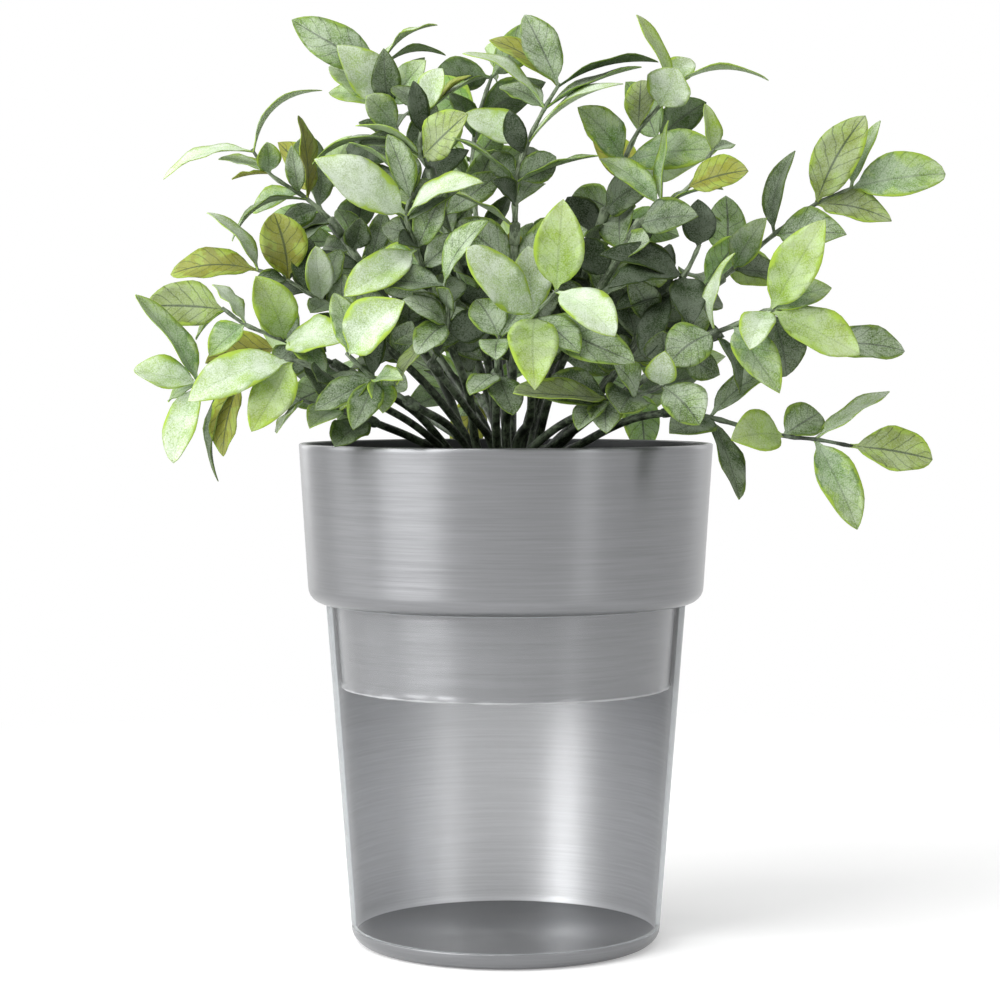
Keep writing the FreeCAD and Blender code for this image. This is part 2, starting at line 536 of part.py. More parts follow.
def leaf(start, tip, breadth, turn, arch, facing):
    """A blade from its foot to its tip; at turn 0 it shows its face to facing."""
    span = tip - start
    length = span.Length
    along = span * (1 / length)
    up = facing - along * facing.dot(along)
    up.normalize()
    up = up * cos(radians(turn)) + along.cross(up) * sin(radians(turn))
    out = along.cross(up)
    thick = up * (value("Sizes.LeafThickness") / 2)

    def station(share, half):
        middle = start + along * (length * share) + up * (arch * length * 4 * share * (1 - share))
        raised = middle + up * (value("Sizes.LeafFold") * half)
        return [raised + out * half, middle + thick, raised - out * half, middle - thick]

    rings = [station(share, breadth / 2 * width) for share, width in LEAF_STATIONS]
    faces = []
    for k in range(4):
        m = (k + 1) % 4
        faces.append([start, rings[0][k], rings[0][m]])
        faces.append([rings[-1][k], tip, rings[-1][m]])
        for low, high in zip(rings, rings[1:]):
            faces.append([low[k], high[k], low[m]])
            faces.append([low[m], high[k], high[m]])
    return solid_of(faces)


# The branches: a wired stem in its socket, and a moulded sprig over its peg

def socket_spot(ring, slot):
    """Where a socket's bottom is, and the way from the pot's axis to it."""
    name, count = SOCKET_RINGS[ring]
    angle = radians(360 * slot / count)
    outwards = Vector(cos(angle), sin(angle), 0)
    return outwards * value(f"Sizes.{name}") + Vector(0, 0, value(SOCKET_BOTTOM)), outwards


def feature(label, shape):
    made = doc.addObject("Part::Feature", label)
    made.Label = label
    made.Shape = shape
    return made


def make_branch(name, socket, facing, stem_bends, sprig_bends, leaves):
    bottom, outwards = socket_spot(*socket)
    collar = bottom + Vector(0, 0, value("Sizes.SocketDepth") + value("Sizes.StemRadius"))
    bends = [bottom, collar] + [place(spot) for spot in stem_bends]
    end = bends[-1]
    last_run = (end - bends[-2]).normalize()
    thin = value("Sizes.StemTipRadius")
    steps = len(bends) - 1
    radii = [value("Sizes.StemRadius") + (thin - value("Sizes.StemRadius")) * k / steps
             for k in range(steps + 1)]
    peg = value("Sizes.PegRadius")
    stem, side = rod(bends + [end, end + last_run * value("Sizes.PegLength")],
                     radii + [peg, peg], STEM_SIDES, outwards)

    sleeve_end = end + last_run * value("Sizes.SleeveLength")
    twig = value("Sizes.TwigRadius")
    twig_tip = value("Sizes.TwigTipRadius")
    further = [place(spot) for spot in sprig_bends]
    twig_steps = len(further)
    sleeve = value("Sizes.SleeveRadius")
    route = [end, sleeve_end, sleeve_end] + further
    route_radii = [sleeve, sleeve, twig]
    route_radii += [twig + (twig_tip - twig) * (k + 1) / twig_steps for k in range(twig_steps)]
    sprig, _ = rod(route, route_radii, TWIG_SIDES, side)
    spine = [end, sleeve_end] + further
    feet = [spine[k + 1] - (spine[k + 1] - spine[k]).normalize() * twig for k in range(len(spine) - 1)]
    facing = Vector(*facing)
    blades = []
    for foot, across, deep, up, breadth, turn, *bow in leaves:
        arch = bow[0] if bow else value("Sizes.LeafArch")
        blades.append(leaf(feet[foot], place((across, deep, up)), breadth, turn, arch, facing))
    sprig = sprig.multiFuse(blades)
    hole, _ = rod([end - last_run, end + last_run * (value("Sizes.PegLength") + value("Sizes.PegFit"))],
                  [peg + value("Sizes.PegFit")] * 2, STEM_SIDES, side)
    return [feature(f"stem_{name}", stem), feature(f"sprig_{name}", sprig.cut(hole))]


# Making, checking and writing every sub-part

sub_parts = [make_lower_pot(), make_planter_insert(), make_foam_plug(), make_bush_pick()]
for branch_name, parts_of_branch in BRANCHES.items():
    sub_parts += make_branch(branch_name, *parts_of_branch)
doc.recompute()

for made in doc.Objects:
    if "Invalid" in made.State or "Error" in made.State:
        raise ValueError(f"{made.Label} didn't compute: {made.State}")
for made in sub_parts:
    if made.Shape.isNull() or not made.Shape.isValid() or len(made.Shape.Solids) != 1:
        raise ValueError(f"{made.Label} isn't one valid solid")

os.makedirs("parts", exist_ok=True)
for made in sub_parts:
    made.Shape.exportStep(f"parts/{made.Label}.step")
    print(f"{made.Label}: {made.Shape.Volume:.0f} mm3, {len(made.Shape.Faces)} faces")
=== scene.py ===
# %% [markdown]
# # A flowerpot that hides a safe
# The real object is two printed pots and a bush of artificial sprigs. The planter part, with
# its collar, drops into the lower pot, and what is under it is the hidden compartment. In this
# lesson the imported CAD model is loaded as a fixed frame, and every part gets its looks.

# %% Load the frame
from math import cos, exp, pi, radians, sin
from random import Random

import bpy
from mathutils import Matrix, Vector, noise


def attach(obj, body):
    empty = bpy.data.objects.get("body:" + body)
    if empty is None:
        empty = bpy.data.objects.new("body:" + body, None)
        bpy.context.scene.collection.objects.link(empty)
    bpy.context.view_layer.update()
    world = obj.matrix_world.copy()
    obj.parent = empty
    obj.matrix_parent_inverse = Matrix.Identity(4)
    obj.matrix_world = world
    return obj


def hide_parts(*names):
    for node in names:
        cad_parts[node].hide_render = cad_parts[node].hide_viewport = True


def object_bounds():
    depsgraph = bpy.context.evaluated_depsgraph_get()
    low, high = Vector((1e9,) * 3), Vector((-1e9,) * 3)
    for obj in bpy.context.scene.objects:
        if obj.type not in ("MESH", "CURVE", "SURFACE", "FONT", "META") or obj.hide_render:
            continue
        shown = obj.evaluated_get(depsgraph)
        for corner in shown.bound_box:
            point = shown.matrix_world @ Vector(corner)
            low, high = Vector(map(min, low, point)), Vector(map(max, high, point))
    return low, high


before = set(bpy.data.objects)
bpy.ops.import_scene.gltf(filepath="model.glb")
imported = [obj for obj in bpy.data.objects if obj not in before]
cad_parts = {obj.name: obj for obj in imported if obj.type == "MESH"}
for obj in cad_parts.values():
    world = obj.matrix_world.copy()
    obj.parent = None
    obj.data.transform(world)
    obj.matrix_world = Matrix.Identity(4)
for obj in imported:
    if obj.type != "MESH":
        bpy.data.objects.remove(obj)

MM = 0.001
cad_low, cad_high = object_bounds()
print("CAD box in mm:", [round(v / MM, 1) for v in (*cad_low, *cad_high)])

# %% [markdown]
# ## The camera
# The photographer stood level with the rim of the pot, four fifths of a metre away. A long
# lens from there keeps the sides of the pot nearly parallel. The camera tips down a little and
# a small shift does the rest, so that upright edges stay upright.

# %% Camera at the photographer's place
CAMERA_PLACE = (-1.74 * MM, -800 * MM, 169 * MM)
TIPPED_DOWN = 1.546
LENS = 96
SHIFT = -0.05

scene = bpy.context.scene
scene.view_settings.view_transform = "Standard"

camera = bpy.data.objects.new("camera", bpy.data.cameras.new("camera"))
scene.collection.objects.link(camera)
scene.camera = camera
camera.location = CAMERA_PLACE
camera.rotation_euler = (radians(90 - TIPPED_DOWN), 0, 0)
camera.data.sensor_width = 36
camera.data.lens = LENS
camera.data.shift_y = SHIFT
camera.data.clip_start = 0.01
print("camera", round(CAMERA_PLACE[2] / MM), "mm up, with a lens of", LENS, "mm")

# %% [markdown]
# ## Colours and nodes
# Screen colours are written as hex values in sRGB, while shaders add up light, so one function
# turns a hex value to linear light. A second function adds a node: it takes the node's kind,
# its settings, and what goes into its sockets, and it serves every material below. The
# settings that come back again and again get a name.


# %% Helpers for colours and nodes
def linear(hex_colour):
    """The linear RGBA of an sRGB hex value."""
    parts = [int(hex_colour[k:k + 2], 16) / 255 for k in (1, 3, 5)]
    return [p / 12.92 if p <= 0.04045 else ((p + 0.055) / 1.055) ** 2.4 for p in parts] + [1.0]


def add_node(tree, kind, settings=None, sockets=None):
    """Adds a node; a socket gets a plain value, or the output socket that feeds it."""
    node = tree.nodes.new("ShaderNode" + kind)
    for name, value in (settings or {}).items():
        setattr(node, name, value)
    for socket, value in (sockets or {}).items():
        if isinstance(value, bpy.types.NodeSocket):
            tree.links.new(value, node.inputs[socket])
        else:
            node.inputs[socket].default_value = value
    return node


def new_material(name):
    """An empty material; gives the material and its tree."""
    material = bpy.data.materials.new(name)
    material.use_nodes = True
    material.node_tree.nodes.clear()
    return material, material.node_tree


def finish_material(tree, surface):
    """Joins a shader's output to the material's output."""
    add_node(tree, "OutputMaterial", sockets={"Surface": surface})


LARGER = {"operation": "MAXIMUM"}
TIMES = {"operation": "MULTIPLY"}
TIMES_AND_PLUS = {"operation": "MULTIPLY_ADD"}
SMOOTHLY = {"interpolation_type": "SMOOTHSTEP"}
COLOURS = {"data_type": "RGBA"}
COLOURS_TIMES = {"data_type": "RGBA", "blend_type": "MULTIPLY"}
print("screen grey #808080 is", round(linear("#808080")[0], 3), "of the light of white")

# %% [markdown]
# ## Floor and light
# A product photo like this one is taken on a white sweep, with a big soft lamp at the left
# front. The floor is plain and pale. Seen by the camera it is lifted to white with Light Path,
# so the lamps can stay at the level where a colour renders about as it is written, and the
# floor still takes the soft shadow of the pot.


# %% What the camera sees
def seen_by_camera(tree):
    """1 where a ray from the camera ends, also in a mirror or through clear plastic."""
    path = add_node(tree, "LightPath")
    seen = add_node(tree, "Math", LARGER, {
        0: path.outputs["Is Camera Ray"], 1: path.outputs["Is Glossy Ray"]})
    seen = add_node(tree, "Math", LARGER, {
        0: seen.outputs[0], 1: path.outputs["Is Transmission Ray"]})
    return seen.outputs[0]


# %% Floor
# In metres; the paper's lift is the light that the camera sees on top of its own
FLOOR_SIZE = 12.0
PAPER_LIFT = 0.30
FADE_FROM = 0.22
FADE_TO = 0.55

floor_material, tree = new_material("white_paper_sweep")
paper = add_node(tree, "BsdfDiffuse", sockets={"Color": linear("#e9e9e9")})
lift = add_node(tree, "Emission", sockets={"Color": linear("#ffffff"), "Strength": PAPER_LIFT})
white = add_node(tree, "Emission", sockets={"Color": linear("#ffffff"), "Strength": 1.0})
lifted = add_node(tree, "AddShader", sockets={0: paper.outputs[0], 1: lift.outputs[0]})
# Away from the pot the sweep fades into the white of the studio
where = add_node(tree, "TexCoord")
distance = add_node(tree, "VectorMath", {"operation": "LENGTH"}, {0: where.outputs["Object"]})
far = add_node(tree, "MapRange", SMOOTHLY, {
    "Value": distance.outputs["Value"], "From Min": FADE_FROM, "From Max": FADE_TO})
faded = add_node(tree, "MixShader", sockets={
    0: far.outputs[0], 1: lifted.outputs[0], 2: white.outputs[0]})
sweep = add_node(tree, "MixShader", sockets={
    0: seen_by_camera(tree), 1: paper.outputs[0], 2: faded.outputs[0]})
finish_material(tree, sweep.outputs[0])

floor_mesh = bpy.data.meshes.new("floor")
half = FLOOR_SIZE / 2
floor_mesh.from_pydata([(-half, -half, 0), (half, -half, 0), (half, half, 0), (-half, half, 0)],
                       [], [(0, 1, 2, 3)])
floor = bpy.data.objects.new("floor", floor_mesh)
scene.collection.objects.link(floor)
floor_mesh.materials.append(floor_material)
print("floor", FLOOR_SIZE, "m square")

# %% The light of the room
ROOM_LIGHT = 0.48

world = bpy.data.worlds.new("studio")
world.use_nodes = True
scene.world = world
tree = world.node_tree
tree.nodes.clear()
room = add_node(tree, "Background", sockets={"Color": linear("#ffffff"), "Strength": ROOM_LIGHT})
white = add_node(tree, "Background", sockets={"Color": linear("#ffffff"), "Strength": 1.0})
room = add_node(tree, "MixShader", sockets={
    0: seen_by_camera(tree), 1: room.outputs[0], 2: white.outputs[0]})
add_node(tree, "OutputWorld", sockets={"Surface": room.outputs[0]})


# %% Lamps
def softbox(name, place, aim, width, height, watts):
    """A rectangular soft lamp at a place, facing a point, in metres."""
    data = bpy.data.lights.new(name, "AREA")
    data.shape = "RECTANGLE"
    data.size = width
    data.size_y = height
    data.energy = watts
    lamp = bpy.data.objects.new(name, data)
    lamp.location = place
    lamp.rotation_euler = (Vector(aim) - Vector(place)).to_track_quat("-Z", "Y").to_euler()
    scene.collection.objects.link(lamp)


POT_MIDDLE = (0, 0, 0.14)
softbox("key_left", (-1.25, -0.90, 0.75), POT_MIDDLE, 1.15, 1.5, 26)
softbox("side_left", (-1.55, 0.15, 0.7), POT_MIDDLE, 0.9, 1.3, 8)
softbox("fill_right", (1.12, -1.15, 0.45), POT_MIDDLE, 0.30, 1.2, 2.4)
softbox("top_front", (-0.35, -0.85, 1.5), POT_MIDDLE, 1.0, 0.8, 10)
softbox("back_left", (-0.85, 1.25, 0.7), POT_MIDDLE, 0.35, 1.4, 3)
softbox("back_right", (1.05, 1.05, 0.7), POT_MIDDLE, 0.45, 1.3, 1.5)
print(len(bpy.data.lights), "lamps,", round(sum(lamp.energy for lamp in bpy.data.lights), 1), "watts")

# %% [markdown]
# ## Silver-grey PLA
# Both pots come off a filament printer in silver-grey PLA. The pigment is fine aluminium
# flake, so the plastic is a bit metallic, with a satin gloss. Every printed line is a tiny
# ridge that runs round the pot. Such ridges stretch a highlight upright, into soft bands of
# light from foot to rim, so the shader is anisotropic, with its tangent around the axis.
# A real line is 0.2 mm high, finer than this picture shows, so the lines are drawn at 0.6 mm.

# %% Material of the pots
# Real lines are 0.2 mm high and real flakes finer still, too fine to show at this distance
DRAWN_LINE = 0.6 * MM
GRAIN_WIDTH = 0.8 * MM
STREAK_HEIGHT = 0.7 * MM
STREAKS_PER_METRE = 30
RIDGE_HEIGHT = 0.03 * MM
# A wave texture of scale 1 repeats every 2 pi / 20 units
LINE_SCALE = 2 * pi / (20 * DRAWN_LINE)


def silver_pla(name, colour, roughness):
    """Printed silver-grey PLA: metallic flake in plastic, ridged by its printed lines."""
    material, tree = new_material(name)
    where = add_node(tree, "TexCoord")
    # Faint streaks that run part of the way round, where the nozzle laid a little more
    streak_place = add_node(tree, "Mapping", sockets={
        "Vector": where.outputs["Object"],
        "Scale": (STREAKS_PER_METRE, STREAKS_PER_METRE, 1 / STREAK_HEIGHT)})
    streaks = add_node(tree, "TexNoise", sockets={
        "Vector": streak_place.outputs[0], "Scale": 1.0, "Detail": 3.0, "Roughness": 0.7})
    tone = add_node(tree, "MapRange", sockets={
        "Value": streaks.outputs["Fac"], "From Min": 0.3, "From Max": 0.7,
        "To Min": 0.91, "To Max": 1.09})
    paint = add_node(tree, "Mix", COLOURS_TIMES, {
        0: 1.0, 6: linear(colour), 7: tone.outputs[0]})
    gloss = add_node(tree, "MapRange", sockets={
        "Value": streaks.outputs["Fac"], "To Min": roughness - 0.08, "To Max": roughness + 0.08})
    # The relief: printed lines, the streaks, and a little of the grain of the flakes
    lines = add_node(tree, "TexWave", {"bands_direction": "Z", "wave_profile": "SIN"}, {
        "Vector": where.outputs["Object"], "Scale": LINE_SCALE, "Distortion": 0.0})
    grain = add_node(tree, "TexNoise", sockets={
        "Vector": where.outputs["Object"], "Scale": 1 / GRAIN_WIDTH, "Detail": 2.0})
    height = add_node(tree, "Math", TIMES_AND_PLUS, {
        0: lines.outputs["Fac"], 1: 0.4, 2: streaks.outputs["Fac"]})
    height = add_node(tree, "Math", TIMES_AND_PLUS, {
        0: grain.outputs["Fac"], 1: 0.08, 2: height.outputs[0]})
    ridges = add_node(tree, "Bump", sockets={
        "Strength": 0.3, "Distance": RIDGE_HEIGHT, "Height": height.outputs[0]})
    around = add_node(tree, "Tangent", {"direction_type": "RADIAL", "axis": "Z"})
    # PLA's own index of 1.46 gives the sheen of plastic over the flakes
    shader = add_node(tree, "BsdfPrincipled", sockets={
        "Base Color": paint.outputs[2], "Metallic": 0.8, "Roughness": gloss.outputs[0],
        "IOR": 1.46, "Anisotropic": 0.65, "Anisotropic Rotation": 0.25,
        "Tangent": around.outputs[0], "Normal": ridges.outputs[0]})
    finish_material(tree, shader.outputs[0])
    return material


# %% [markdown]
# ## One plastic, six finishes, four with painted light or shade
# The same plastic is given a different colour from place to place. Outside it is a satin mid
# grey. The compartment's wall is painted much lighter, a painted light for the lamps on it.
# Above the foam the planter is painted dark, a painted shade. The first printed layer is painted
# pale, a painted highlight, and the edges where the wall is cut are painted pale, a painted
# reflection; both are rough.

# %% Finishes of the pots
PLANTER_PLA = silver_pla("silver_pla_planter", "#848587", 0.34)
POT_PLA = silver_pla("silver_pla_pot", "#808183", 0.36)
# Painted light: the compartment's wall is painted much lighter than the outside
PAINTED_LIGHT_INSIDE_PLA = silver_pla("silver_pla_pot_inside_painted_light", "#d4d5d7", 0.46)
# Painted shade: the inside above the foam is painted dark
PAINTED_SHADE_INSIDE_PLA = silver_pla("silver_pla_inside_painted_shade", "#4a4b4c", 0.60)
# Painted highlight: the first layer at the skirt's foot is painted pale
FIRST_LAYER_PAINTED_HIGHLIGHT_PLA = silver_pla("silver_pla_first_layer_painted_highlight", "#b9babc", 0.60)
# Painted reflection: the cut edges are painted pale
CUT_EDGE_PAINTED_REFLECTION_PLA = silver_pla("silver_pla_cut_edge_painted_reflection", "#c6c8ca", 0.60)
print(len(POT_PLA.node_tree.nodes), "nodes in each finish of the pots")

# %% [markdown]
# ## The printed pots
# A pot is a turned shape: one outline, spun round the axis. The outline is closed, out along
# the foot, up the outside, over the rim and down the inside, so that the wall has its real
# thickness. Blender's Screw modifier could spin it, but a mesh in code can also let single
# printed lines stand out by a few hundredths of a millimetre, as on the real print.


# %% From points to a piece
def mesh_piece(name, points, faces, materials, body, face_materials, flat_faces=()):
    """A mesh object from points in mm; it rides on a body and has the given materials."""
    mesh = bpy.data.meshes.new(name)
    mesh.from_pydata([[v * MM for v in p] for p in points], [], faces)
    smooth = [True] * len(mesh.polygons)
    for k in flat_faces:
        smooth[k] = False
    mesh.polygons.foreach_set("use_smooth", smooth)
    for material in materials:
        mesh.materials.append(material)
    mesh.polygons.foreach_set("material_index", face_materials)
    piece = bpy.data.objects.new(name, mesh)
    scene.collection.objects.link(piece)
    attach(piece, body)
    return piece


# %% Outlines
def divided(outline, step):
    """The outline with long runs divided, so that printed lines can stand out on them."""
    points = [outline[0]]
    for (r0, z0), (r1, z1) in zip(outline, outline[1:]):
        count = max(1, round(abs(z1 - z0) / step)) if abs(z1 - z0) > 5 * step else 1
        points += [(r0 + (r1 - r0) * k / count, z0 + (z1 - z0) * k / count)
                   for k in range(1, count + 1)]
    return points


def round_corner(across, up, radius, steps=6):
    """A round between a level face at this height and a side out at this radius."""
    turns = [pi / 2 * k / steps for k in range(steps + 1)]
    return [(across - radius * (1 - sin(t)), up + radius * (1 - cos(t))) for t in turns]


LINE_RELIEF = 0.03
WAVER_ROUND = 1.3
WAVER_UP = 0.9


def printed_line(radius, angle, z):
    """A radius with the unevenness of printed lines, never past the radius itself."""
    spot = Vector((cos(angle) * WAVER_ROUND, sin(angle) * WAVER_ROUND, z * WAVER_UP))
    return radius - LINE_RELIEF + LINE_RELIEF * noise.noise(spot)


# %% Turned shapes
SEGMENTS = 180
LINE_STEP = 1.0


def turned_faces(rings, count):
    """Quads between rings of count points each; the faces look outwards."""
    faces = []
    for ring in range(rings - 1):
        for k in range(count):
            a, b = ring * count + k, ring * count + (k + 1) % count
            faces.append((a, b, b + count, a + count))
    return faces


def turned_piece(name, outline, roughen, materials, body, kind_of=lambda r, z: 0):
    """A closed turned piece; its outline starts and ends on the axis."""
    rings = outline[1:-1]
    points = [(0, 0, outline[0][1])]
    for r, z in rings:
        for k in range(SEGMENTS):
            angle = 2 * pi * k / SEGMENTS
            radius = roughen(r, angle, z)
            points.append((radius * cos(angle), radius * sin(angle), z))
    points.append((0, 0, outline[-1][1]))
    faces = [tuple(v + 1 for v in f) for f in turned_faces(len(rings), SEGMENTS)]
    kinds = [kind_of((r0 + r1) / 2, (z0 + z1) / 2)
             for (r0, z0), (r1, z1) in zip(rings, rings[1:]) for k in range(SEGMENTS)]
    last = 1 + (len(rings) - 1) * SEGMENTS
    for k in range(SEGMENTS):
        after = (k + 1) % SEGMENTS
        faces.append((0, 1 + after, 1 + k))
        faces.append((len(points) - 1, last + k, last + after))
    kinds += [0] * (2 * SEGMENTS)
    return mesh_piece(name, points, faces, materials, body, kinds)


# %% Planter: collar, shoulder and skirt
POT_HEIGHT = 102.0
RIM_HEIGHT = 149.5
RIM_RADIUS = 62.0
COLLAR_RADIUS = 59.3
SHOULDER_ROUND = 4.8
SKIRT_FOOT = 76.6
FLOOR_TOP = 78.6
LEDGE_TOP = 104.0
WALL = 1.7
LIP_ROUND = 0.35

# Points are (radius, height) in mm
planter_outline = [
    # The underside and the edge of the first layer, and up the skirt
    (0, SKIRT_FOOT), (47.6, SKIRT_FOOT), (48.9, SKIRT_FOOT), (49.2, SKIRT_FOOT + 0.3),
    (49.22, SKIRT_FOOT + 0.6), (51.1, POT_HEIGHT - 0.6),
    # Out along the shoulder and up the collar
    (51.3, POT_HEIGHT - 0.1), (51.6, POT_HEIGHT),
    *round_corner(COLLAR_RADIUS, POT_HEIGHT, SHOULDER_ROUND),
    # Over the rim
    (RIM_RADIUS, RIM_HEIGHT - LIP_ROUND), (RIM_RADIUS - LIP_ROUND, RIM_HEIGHT),
    (RIM_RADIUS - WALL + LIP_ROUND, RIM_HEIGHT), (RIM_RADIUS - WALL, RIM_HEIGHT - LIP_ROUND),
    # Down the inside to the ledge, and down again to the floor
    (57.7, LEDGE_TOP + 0.2), (57.5, LEDGE_TOP), (49.5, LEDGE_TOP), (49.3, LEDGE_TOP - 0.3),
    (47.65, FLOOR_TOP + 0.2), (47.4, FLOOR_TOP), (0, FLOOR_TOP)]

FIRST_LAYER_SQUASH = 0.55
RAGGED_ROUND = 14


def planter_lines(radius, angle, z):
    """Printed lines, and a ragged first layer squashed out at the skirt's foot."""
    lip = 0.0
    if z < SKIRT_FOOT + 0.8 and radius > 48:
        spot = Vector((cos(angle) * RAGGED_ROUND, sin(angle) * RAGGED_ROUND, z * 2))
        lip = FIRST_LAYER_SQUASH * (0.5 + noise.noise(spot))
    return printed_line(radius, angle, z) + lip if radius > 1 else radius


def planter_kind(radius, z):
    """0 outside, 1 inside above the foam, painted dark as a painted shade, 2 the skirt's squashed first
    layer, painted pale as a painted highlight.
    """
    if z < SKIRT_FOOT + 0.7:
        return 2
    rise = (z - POT_HEIGHT) / (RIM_HEIGHT - POT_HEIGHT)
    inner = COLLAR_RADIUS - WALL + (RIM_RADIUS - COLLAR_RADIUS) * rise
    return 1 if z > LEDGE_TOP - 0.1 and radius < inner + 0.1 and z < RIM_HEIGHT - 0.1 else 0


# The inside above the foam is painted shade, and the first layer a painted highlight
planter_shell = turned_piece("planter_shell", divided(planter_outline, LINE_STEP), planter_lines,
                             [PLANTER_PLA, PAINTED_SHADE_INSIDE_PLA, FIRST_LAYER_PAINTED_HIGHLIGHT_PLA],
                             "planter", planter_kind)
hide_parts("planter_insert")
print("planter_shell", len(planter_shell.data.polygons), "faces")

# %% [markdown]
# ## The lower pot and its clear front
# The picture that this part follows shows the lower pot in half section, to let the hidden
# compartment be seen: nearly the whole front half of its wall is missing, above a low sill and
# between two upright cut edges. The CAD pot is whole, as a pot in use most likely is. Here it
# is made of two closed pieces that fill it together: a grey shell with the window, and a clear
# section that closes it. A Boolean could cut the window out of a turned pot, but building the
# shell with the window left open gives clean faces, and cut edges painted pale, a painted
# reflection of the bright room.

# %% Outline of the lower pot
WINDOW_HALF_ANGLE = 85
SILL_HEIGHT = 5.0
CLEARANCE = 0.05
FOOT_RADIUS = 46.4
FOOT_ROUND = 4.7
POT_FLOOR = 2.4

wall_outside = (46.42, SILL_HEIGHT)
wall_inside = (45.07, SILL_HEIGHT)
mouth_outside = (53.9, POT_HEIGHT - 0.3)
mouth_inside = (52.2, POT_HEIGHT - 0.3)
pot_outline = [
    # Out along the foot, round its corner, and up the wall
    (0, 0), *round_corner(FOOT_RADIUS, 0, FOOT_ROUND), wall_outside, mouth_outside,
    # Over the mouth, down the inside, and along the floor
    (53.6, POT_HEIGHT), (52.5, POT_HEIGHT), mouth_inside, wall_inside,
    (44.95, POT_FLOOR + 0.3), (44.6, POT_FLOOR), (0, POT_FLOOR)]


def pot_lines(radius, angle, z):
    """Printed lines on the walls of the lower pot."""
    return printed_line(radius, angle, z) if SILL_HEIGHT < z < POT_HEIGHT - 1 else radius


# %% Lower pot
# The upright rows of points stand at odd degrees, so the window's half angle is odd too
FIRST_ROW = 1


def row_angle(k):
    """Where an upright row of points stands, in degrees from the right."""
    return FIRST_ROW + 360 * k / SEGMENTS


def in_window(k):
    """Whether the strip after a row lies in the window, which is centred on the front."""
    degrees = (row_angle(k + 0.5) + 90) % 360
    return degrees < WINDOW_HALF_ANGLE or degrees > 360 - WINDOW_HALF_ANGLE


def pot_shell():
    """The grey shell: a whole foot, and a wall that stops at the window's upright edges."""
    foot, *rings, inner_floor = divided(pot_outline, LINE_STEP)
    low = rings.index(wall_outside)
    high = len(rings) - 1 - rings[::-1].index(wall_inside)
    top_inside = rings.index(mouth_inside)
    count = len(rings)
    points = [(0, 0, foot[1])]
    for angle in [radians(row_angle(k)) for k in range(SEGMENTS)]:
        for r, z in rings:
            radius = pot_lines(r, angle, z)
            points.append((radius * cos(angle), radius * sin(angle), z))
    points.append((0, 0, inner_floor[1]))
    # Kinds are 1 for the wall's inside, painted light, 2 for the two upright cuts, painted as a reflection,
    # and 0 for all the rest
    faces, kinds = [], []
    whole = list(range(count))
    below_and_inside = whole[:low + 1] + whole[high:]
    for k in range(SEGMENTS):
        here, after = 1 + k * count, 1 + (k + 1) % SEGMENTS * count
        heights = below_and_inside if in_window(k) else whole
        for a, b in zip(heights, heights[1:]):
            faces.append((here + a, after + a, after + b, here + b))
            kinds.append(1 if top_inside <= a < high + 1 and b - a == 1 else 0)
        faces.append((0, after, here))
        faces.append((len(points) - 1, here + count - 1, after + count - 1))
        kinds += [0, 0]
    caps = [len(faces), len(faces) + 1]
    for side in (-1, 1):
        k = round((side * WINDOW_HALF_ANGLE - 90 - FIRST_ROW) % 360 / 360 * SEGMENTS) % SEGMENTS
        cap = [1 + k * count + a for a in range(low, high + 1)]
        faces.append(tuple(cap) if side > 0 else tuple(reversed(cap)))
        kinds.append(2)
    # The inside gets painted light, and the cut edges a painted reflection
    return mesh_piece("lower_pot_shell", points, faces, [POT_PLA, PAINTED_LIGHT_INSIDE_PLA, CUT_EDGE_PAINTED_REFLECTION_PLA],
                      "pot", kinds, flat_faces=caps)


lower_pot_shell = pot_shell()
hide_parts("lower_pot")
print("lower_pot_shell", len(lower_pot_shell.data.polygons), "faces")

# %% [markdown]
# ## Clear plastic
# The section that closes the window is drawn as clear PETG, a plastic that such a pot could
# be printed or moulded from, in the wall's own thickness. A shader that bends light costs many
# samples, and a wall this thin hardly shifts what lies behind it. So this one only covers a
# little of the view. Where the wall is seen edge-on, its pale grey covers more, a painted
# reflection, and it covers more at its cut rim.


# %% Material of the clear section
def clear_petg(name, colour, cover):
    """Clear plastic; cover is how much of what lies behind it is hidden."""
    material, tree = new_material(name)
    # A clear wall mirrors more of the room the more edge-on it is seen; here its pale grey covers more
    # there, a painted reflection
    edge_on = add_node(tree, "LayerWeight", sockets={"Blend": 0.5})
    gloss = add_node(tree, "Math", {"operation": "POWER"}, {0: edge_on.outputs["Facing"], 1: 6.0})
    cover_and_painted_reflection = add_node(tree, "Math", TIMES_AND_PLUS, {0: gloss.outputs[0], 1: 0.45, 2: cover})
    # PETG's index of 1.57 is high for a plastic, which gives a clear bright highlight
    shader = add_node(tree, "BsdfPrincipled", sockets={
        "Base Color": linear(colour), "Roughness": 0.15, "IOR": 1.57,
        "Alpha": cover_and_painted_reflection.outputs[0]})
    finish_material(tree, shader.outputs[0])
    return material


CLEAR_WALL = clear_petg("clear_petg_section", "#c9cbcd", 0.035)
CLEAR_EDGE = clear_petg("clear_petg_edge", "#dfe4e6", 0.45)

# %% Clear front section
CLEAR_STEPS = 90
CLEAR_LINE_STEP = 4.0
SIDE_ROOM = 0.06


